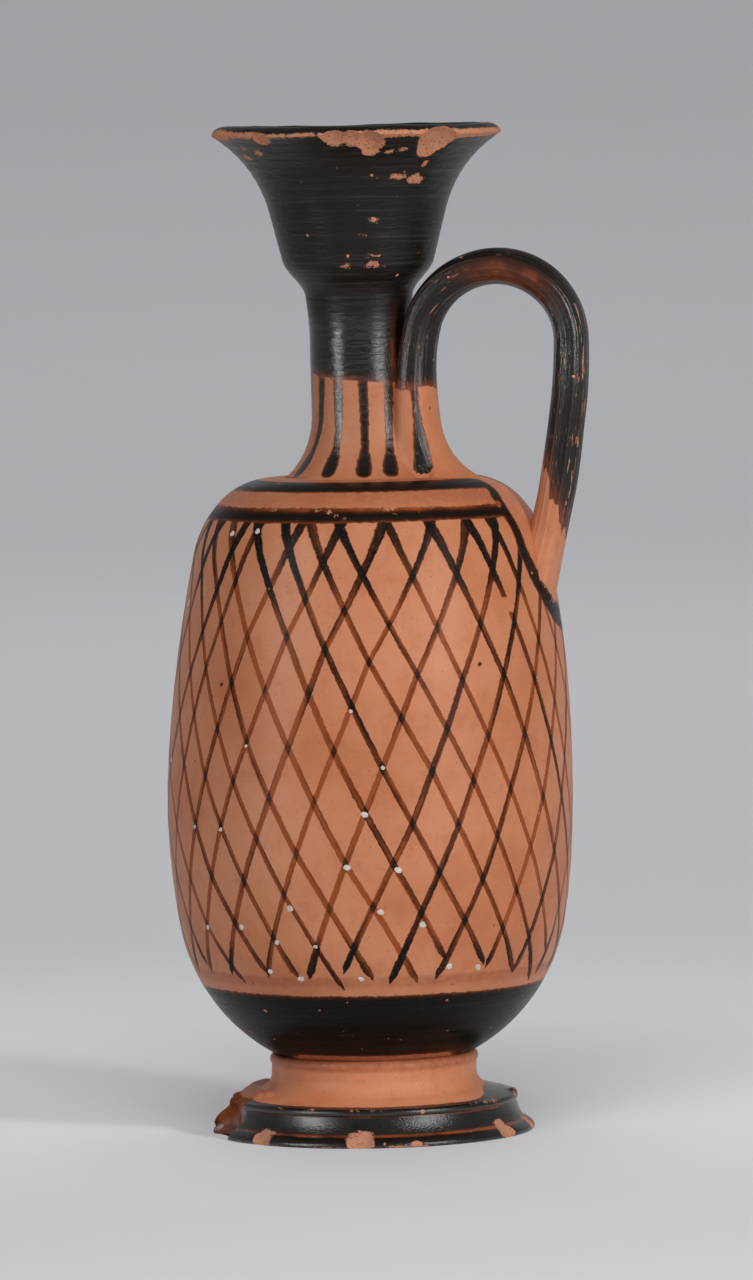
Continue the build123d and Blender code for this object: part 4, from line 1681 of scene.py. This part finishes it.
    def pull(self) -> tuple[Array, Array, Array]:
        """Lays ribbed, uneven rings along the middle line, twisted towards the root.

        Returns:
            The rings' points, fitted to the walls, and each point's turn round the strap and length along it.
        """
        line = self.middle()
        length = np.append(0, np.cumsum(np.hypot(*np.diff(line, axis=0).T)))
        turns = np.arange(self.facets) / self.facets * tau
        origin, out, across = self.axes()
        up = np.array([0, 0, 1.0])
        run = np.gradient(line, axis=0)
        run /= np.hypot(*run.T)[:, None]
        rooted = (1 - ease(length, *self.twist_end))[:, None]
        centre = origin + line[:, :1] * out + line[:, 1:] * up - self.root_pull * rooted * RIGHT
        ribs = sum(depth * np.cos(count * turns + start) for count, depth, start in self.ribs)
        ribbed = 1 + np.outer(0.2 + 0.8 * ease(length, *self.ribbed_from), ribs)
        uneven = 1 + 0.020 * np.sin(length / 6.0) + 0.010 * np.sin(length / 2.7 + 1)
        uneven = uneven + self.root_spread * (1 - ease(length, *self.spread_end))
        over = run[:, 1:] * out - run[:, :1] * up
        twist = np.radians(self.root_twist) * rooted
        lift = over * np.cos(twist) + across * np.sin(twist)
        across = across * np.cos(twist) - over * np.sin(twist)
        thick = self.thickness / 2 * np.cos(turns)
        wide = self.width / 2 * np.sin(turns)
        offset = lift[:, None] * thick[None, :, None] + across[:, None] * wide[None, :, None]
        points = (centre[:, None] + offset * (uneven[:, None] * ribbed)[..., None]).reshape(-1, 3)
        around, along = np.tile(turns, len(line)), np.repeat(length, self.facets)
        return self.fit_ends(points, np.repeat(centre, self.facets, axis=0), along), around, along

    def skin(self, rings: int) -> list[tuple[int, ...]]:
        """The faces between the rings, and a fan over each end."""
        count = self.facets
        faces = ring_faces(0, rings, count)
        first, last = rings * count, rings * count + 1
        for side in range(count):
            other = (side + 1) % count
            faces.append((other, side, first))
            faces.append((first - count + side, first - count + other, last))
        return faces

    def fit_ends(self, points: Array, centre: Array, along: Array) -> Array:
        """Spreads the clay where it meets the walls and presses it on to them.

        Args:
            points: the strap's points.
            centre: the middle line's point for each.
            along: the length along the strap for each.

        Returns:
            The fitted points.
        """
        gap, way = self.wall_gap(points)
        out = points - centre
        out /= np.linalg.norm(out, axis=1)[:, None]
        out -= (out * way).sum(1)[:, None] * way
        low_end = ease(along, *(along.max() - left for left in self.base_fit))
        tail_end = ease(-along, *self.tail_fit)
        above = np.maximum(gap, 0)
        spread = 0.0
        for share, (smear, fade) in ((low_end, self.base_smear), (tail_end, self.tail_smear)):
            spread = spread + smear * share * np.exp(-above / fade)
        points = points + out * spread[:, None]
        for _ in range(3):
            gap, way = self.wall_gap(points)
            points = points + way * np.maximum(-self.sink - gap, 0)[:, None]
        return points

    def paint(self, surface: Surface, around: Array, along: Array, full: float) -> None:
        """Black down to a ragged end, brown on the crown, a tongue on the root and scraped ridges.

        Args:
            surface: the strap's surface.
            around: the turn round the strap at each point; a quarter turn faces the camera.
            along: the length along the strap at each point.
            full: the strap's whole length.
        """
        level = surface.level
        turn = np.degrees(around)
        rising = along < full * 0.5
        drift = 0.5 * np.sin(around * 7 + 1) + 0.35 * np.sin(around * 17)
        low = np.interp(turn, *np.array(self.ragged_ends).T) + drift
        gloss = np.where(rising, level - self.root_gloss_level - 0.3 * np.sin(around * 3), level - low)
        origin, out, _ = self.axes()
        heights, reaches, widths = np.array(self.tongue)[::-1].T
        off = (surface.points - origin) @ out - np.interp(level, heights, reaches)
        drawn = np.interp(level, heights, widths, left=FAR) - np.abs(off)
        gloss = np.maximum(gloss, np.where(rising & (np.sin(around) > 0), drawn, FAR))
        frame = np.maximum(self.body.framed(surface) - self.frame_narrowing, FAR)
        gloss = np.maximum(gloss, np.where(rising, FAR, frame))
        surface.mark(Mark.GLOSS, np.clip(gloss, FAR, 3))
        surface.mark(Mark.DULL, ease(frame, -0.3, 0.3), ~rising)
        share = along / full
        bend = hump(share, *self.bend)
        surface.mark(Mark.DULL, self.handled * (1 - bend) * (0.5 + 0.5 * ease(share, 0.2, 0.3)))
        crown = hump(share, *self.crown) * ease(np.sin(around), 0.0, 0.5)
        surface.mark(Mark.THIN, 0.62 * crown * ease(np.cos(around), -0.65, -0.1))
        surface.mark(Mark.THIN, 0.55 * hump(level - low, -1.5, -0.5, 0.5, 6), ~rising)
        gap, _ = self.wall_gap(surface.points)
        surface.mark(Mark.THIN, 0.8 * np.exp(-np.maximum(gap, 0) / 1.2), rising & (level > 112))
        surface.mark(Mark.THIN, 0.7 * hump(level - self.root_gloss_level, -0.9, -0.3, 0.2, 2.4), rising)
        leg = (share > self.leg_start) & (level > self.leg_low)
        loop = (share > self.loop_start) & (share < self.leg_start)
        scraped = ((leg, self.leg_scrapes, 4, 5.0), (loop, self.loop_scrapes, 5, 4.0))
        for where, scrapes, swing, pace in scraped:
            for place, deepest in scrapes:
                streak = deepest - np.abs(turn - place - swing * np.sin(along / pace + place)) * 0.03
                surface.mark(Mark.BARE, streak, where)


class DotSower(NodeTool):
    """The brush's tip: sets a small flattened blob on each point, facing outwards."""

    NAME = "white_dots"
    INPUTS = {"Flatness": "Float", "Unevenness": "Float", "Seed": "Int", "Material": "Material"}
    LEAST = (0.75, 0.75, 0.8)
    MOST = (1.3, 1.1, 1.2)
    LUMP_SCALE = 1500.0

    def lay(self, g: Graph, given: NodeOutputs) -> Socket:
        """Sets uneven blobs on the points, by the points' own facing and size."""
        blob = g.make("GeometryNodeMeshIcoSphere", {"Radius": 1.0, "Subdivisions": 3})
        blob = g.shaped("Transform", blob, Scale=g.join(1.0, 1.0, given["Flatness"]))
        named = "GeometryNodeInputNamedAttribute"
        facing = g.make(named, {"Name": "facing"}, data_type="FLOAT_VECTOR")
        size = g.make(named, {"Name": "size"}, data_type="FLOAT")
        turned_out = g.make("FunctionNodeAlignRotationToVector", {"Vector": facing}, axis="Z")
        inputs = {0: self.LEAST, 1: self.MOST, "Seed": given["Seed"]}
        stretch = g.make("FunctionNodeRandomValue", inputs, data_type="FLOAT_VECTOR")
        scale = g.vector("MULTIPLY", stretch, g.join(size, size, size))
        inputs = {"Points": given["Geometry"], "Instance": blob, "Rotation": turned_out, "Scale": scale}
        sown = g.make("GeometryNodeInstanceOnPoints", inputs)
        shape = g.shaped("RealizeInstances", sown)
        place = g.make("GeometryNodeInputPosition")
        inputs = {"Vector": place, "Scale": self.LUMP_SCALE, "Detail": 2.0}
        lump = g.vector("SUBTRACT", g.add("ShaderNodeTexNoise", inputs).outputs[1], (0.5, 0.5, 0.5))
        shift = g.make("ShaderNodeVectorMath", {0: lump, "Scale": given["Unevenness"]}, operation="SCALE")
        shape = g.shaped("SetPosition", shape, Offset=shift)
        shape = g.shaped("SetShadeSmooth", shape, Shade_Smooth=True)
        return g.shaped("SetMaterial", shape, Material=given["Material"])


@dataclass
class WhiteDots:
    """What is left of the white dots that sat on the net's crossings."""

    body: Surface
    slot: str = "clay_slip"
    size: float = 0.49
    small: float = 0.34
    # Front angle and level of each dot
    whole: Pairs = (
        (-54, 96), (-42, 96.6), (-2, 52.7), (-7, 44.7), (7, 44.4),
        (-24, 38), (2, 37.8), (15, 35.7), (-42, 35), (-57, 34.4), (-29, 32.5), (-33.6, 28.2),
        (23.4, 28.4), (34.3, 28.1), (-23, 27), (-4, 27), (-78, 85), (-78, 60), (-78, 43),
    )
    worn: Pairs = (
        (-61, 67.5), (-37, 63.6), (3.4, 60), (-20, 46), (-59, 50), (-46.6, 50), (-17, 32),
        (-6, 69),
    )
    flatness: float = 0.22
    unevenness: float = 0.35
    seed: int = 7
    wall_radius: float = 30.0
    inside_radius: float = 24.0

    def build(self) -> Object:
        """Sows the dots on the body, all as one piece."""
        spots = [(spot, self.size) for spot in self.whole] + [(spot, self.small) for spot in self.worn]
        found = []
        upright = self.body.points - STANCE.aside(self.body.level)[:, None] * RIGHT
        turn = np.degrees(np.arctan2(upright[:, 1], upright[:, 0])) - FRONT_TURN
        hidden = np.hypot(*upright[:, :2].T) < self.inside_radius
        for (angle, level), _ in spots:
            across = np.radians(turn_from(turn, angle)) * self.wall_radius
            gap = np.hypot(across, self.body.level - level) + Surface.UNREACHED * hidden
            found.append(int(gap.argmin()))
        piece = new_piece("white_dots", (self.body.points[found] * MM).tolist(), [])
        dots = Surface(piece)
        dots.write("size", np.array([size for _, size in spots], np.float32) * MM)
        ways = [self.body.mesh.vertices[nearest].normal for nearest in found]
        dots.write("facing", np.array(ways), "FLOAT_VECTOR")
        settings = {"Flatness": self.flatness, "Unevenness": self.unevenness * MM, "Seed": self.seed}
        DotSower().work(piece, {**settings, "Material": WhiteSlip().build()})
        seat(piece, self.slot)
        return piece


class Lutings:
    """The slip in the five joints, which keeps its shape from the frame."""

    NODES = ("foot_luting", "neck_luting", "mouth_luting", "handle_root_luting", "handle_base_luting")

    def dress(self) -> None:
        """Gives each joint's slip its finish."""
        material = LutingSlip().build()
        for node in self.NODES:
            data = frame["nodes"][node].data
            data.materials.clear()
            data.materials.append(material)
            LOG.info("%s: dressed", node)


@dataclass(frozen=True)
class Paper:
    """The pale seamless paper that the flask stands on, darker as it rises behind, with painted light: it is
    palest round a spot just behind the flask, which lifts the shadows cast round it.
    """

    name: str = "backdrop_paper"
    # painted light: the palest tone, round a spot just behind the flask, lifts the flask's cast shadows on
    # the paper
    near: Colour = (0.905, 0.912, 0.932, 1)
    around: Colour = (0.797, 0.80, 0.817, 1)
    behind: Colour = (0.795, 0.797, 0.822, 1)
    high: Colour = (0.84, 0.845, 0.87, 1)
    painted_light_reach: float = 0.08
    around_reach: float = 0.24
    lit_behind: float = 0.08
    behind_reach: float = 0.75
    high_reach: float = 3.0

    def build(self) -> Material:
        """Makes the material."""
        material, g, shader = new_material(self.name)
        # painted light: the paper is palest near a spot just behind the flask, lifting the shadows there
        spot = tuple(on_turn(self.lit_behind, 180.0, 0.0))
        reach = g.add("ShaderNodeVectorMath", {0: g.place(), 1: spot}, operation="DISTANCE").outputs["Value"]
        colour = g.mix(g.step(reach, self.painted_light_reach, self.around_reach), self.near, self.around)
        colour = g.mix(g.step(reach, self.around_reach, self.behind_reach), colour, self.behind)
        colour = g.mix(g.step(reach, self.behind_reach, self.high_reach), colour, self.high)
        g.dress(shader, Base_Color=colour, Roughness=0.9, Specular_IOR_Level=0.1)
        return material


@dataclass(frozen=True)
class Softbox:
    """A softbox that faces the flask."""

    name: str
    angle: float
    distance: float
    level: float
    width: float
    height: float
    power: float
    aim_level: float = 0.08
    aim_reach: float = 0.0
    mirrored: bool = True
    lighting: bool = True

    def hang(self) -> None:
        """Puts the lamp up."""
        lamp = bpy.data.lights.new(self.name, "AREA")
        lamp.shape = "RECTANGLE"
        lamp.size, lamp.size_y = self.width, self.height
        lamp.energy = self.power
        stand = bpy.data.objects.new(self.name, lamp)
        place = Vector(on_turn(self.distance, self.angle, self.level))
        aim = Vector(on_turn(self.aim_reach, self.angle, self.aim_level))
        stand.location = place
        stand.rotation_euler = (place - aim).to_track_quat("Z", "Y").to_euler()
        stand.visible_camera = False
        stand.visible_glossy = self.mirrored
        stand.visible_diffuse = self.lighting
        bpy.context.scene.collection.objects.link(stand)


@dataclass
class Studio:
    """The paper bowl, the lamps and the camera. Lengths here are in metres."""

    bowl_profile: Pairs = ((0.0, 0.0), (1.9, 0.0), (2.6, 0.25), (3.0, 0.95), (3.1, 2.6))
    bowl_rings: int = 60
    bowl_sides: int = 96
    bowl_smoothing: int = 6
    flat_radius: float = 1.7
    lamps: tuple[Softbox, ...] = (
        Softbox("key_softbox", 44.0, 1.05, 0.42, 0.36, 0.80, 4.5, lighting=False),
        Softbox("key_lamp", 44.0, 1.05, 0.42, 0.15, 0.15, 4.5, mirrored=False),
        Softbox("strip_softbox", -53.0, 1.00, 0.36, 0.05, 0.80, 3.8, lighting=False),
        Softbox("top_softbox", -5.0, 0.95, 1.00, 0.9, 0.9, 8.6, mirrored=False),
        Softbox("backdrop_softbox", 180.0, 1.1, 1.4, 1.8, 1.0, 9.5, 0.0, 1.5, mirrored=False),
    )
    ambient: float = 0.12
    frame_pixels: tuple[int, int] = (753, 1280)
    focal_pixels: float = 8203.0
    sensor: float = 36.0
    distance: float = 1.300
    eye_level: float = 0.1595
    pitch: float = 3.6
    roll: float = 1.1
    foot_pixel: Pair = (375.0, 1128.8)

    def build(self) -> None:
        """Sets up the whole studio."""
        self.lay_paper()
        for lamp in self.lamps:
            lamp.hang()
        world = bpy.data.worlds.new("room")
        world.use_nodes = True
        background = world.node_tree.nodes["Background"]
        Graph(world.node_tree).dress(background, Strength=self.ambient, Color=(1.0, 1.0, 1.0, 1))
        bpy.context.scene.world = world
        self.set_camera()
        bpy.context.scene.view_settings.view_transform = "Standard"

    def lay_paper(self) -> None:
        """A round bowl of paper with no corner between floor and wall."""
        line = resample(np.array(self.bowl_profile), self.bowl_rings)
        for _ in range(self.bowl_smoothing):
            line[1:-1] = (line[:-2] + 2 * line[1:-1] + line[2:]) / 4
        line[line[:, 0] < self.flat_radius, 1] = 0
        sides = self.bowl_sides
        turns = np.arange(sides) / sides * tau
        points = [(0.0, 0.0, 0.0)]
        for radius, level in line[1:]:
            points += [(radius * cos(turn), radius * sin(turn), level) for turn in turns]
        faces = [(0, 1 + side, 1 + (side + 1) % sides) for side in range(sides)]
        faces += [face[::-1] for face in ring_faces(1, len(line) - 1, sides)]
        paper = new_piece("backdrop", points, faces)
        paper.data.polygons.foreach_set("use_smooth", np.ones(len(faces), bool))
        paper.data.materials.append(Paper().build())

    def set_camera(self) -> None:
        """A long lens a little above the rim, aimed so that the foot falls on its pixel."""
        lens = bpy.data.cameras.new("camera")
        lens.sensor_fit = "VERTICAL"
        lens.sensor_height = self.sensor
        lens.lens = self.focal_pixels / self.frame_pixels[1] * self.sensor
        lens.clip_start, lens.clip_end = 0.05, 20
        eye = Vector(on_turn(self.distance, 0.0, self.eye_level))
        side = Matrix.Rotation(radians(FRONT_TURN + 90), 4, "Z")
        tilt = Matrix.Rotation(pi / 2 - radians(self.pitch), 4, "X")
        pose = Matrix.Translation(eye) @ side @ tilt @ Matrix.Rotation(-radians(self.roll), 4, "Z")
        seen = pose.inverted() @ Vector((0, 0, 0))
        width, height = self.frame_pixels
        wanted = (self.foot_pixel[0] - width / 2, height / 2 - self.foot_pixel[1])
        shown = (-seen.x / seen.z * self.focal_pixels, -seen.y / seen.z * self.focal_pixels)
        lens.shift_x = (shown[0] - wanted[0]) / height
        lens.shift_y = (shown[1] - wanted[1]) / height
        camera = bpy.data.objects.new("camera", lens)
        camera.matrix_world = pose
        bpy.context.scene.collection.objects.link(camera)
        bpy.context.scene.camera = camera


def main() -> None:
    """Builds every piece in order, and the studio round them."""
    logging.basicConfig(level=logging.INFO, format="%(message)s")
    wheel = Wheel()
    foot = Foot(wheel)
    body = Body(wheel)
    neck = Neck(wheel)
    mouth = Mouth(wheel)
    foot.build()
    _, body_surface = body.build()
    neck.build()
    mouth.build()
    Handle(neck, body).build()
    WhiteDots(body_surface).build()
    Lutings().dress()
    Studio().build()


if __name__ == "__main__":
    main()
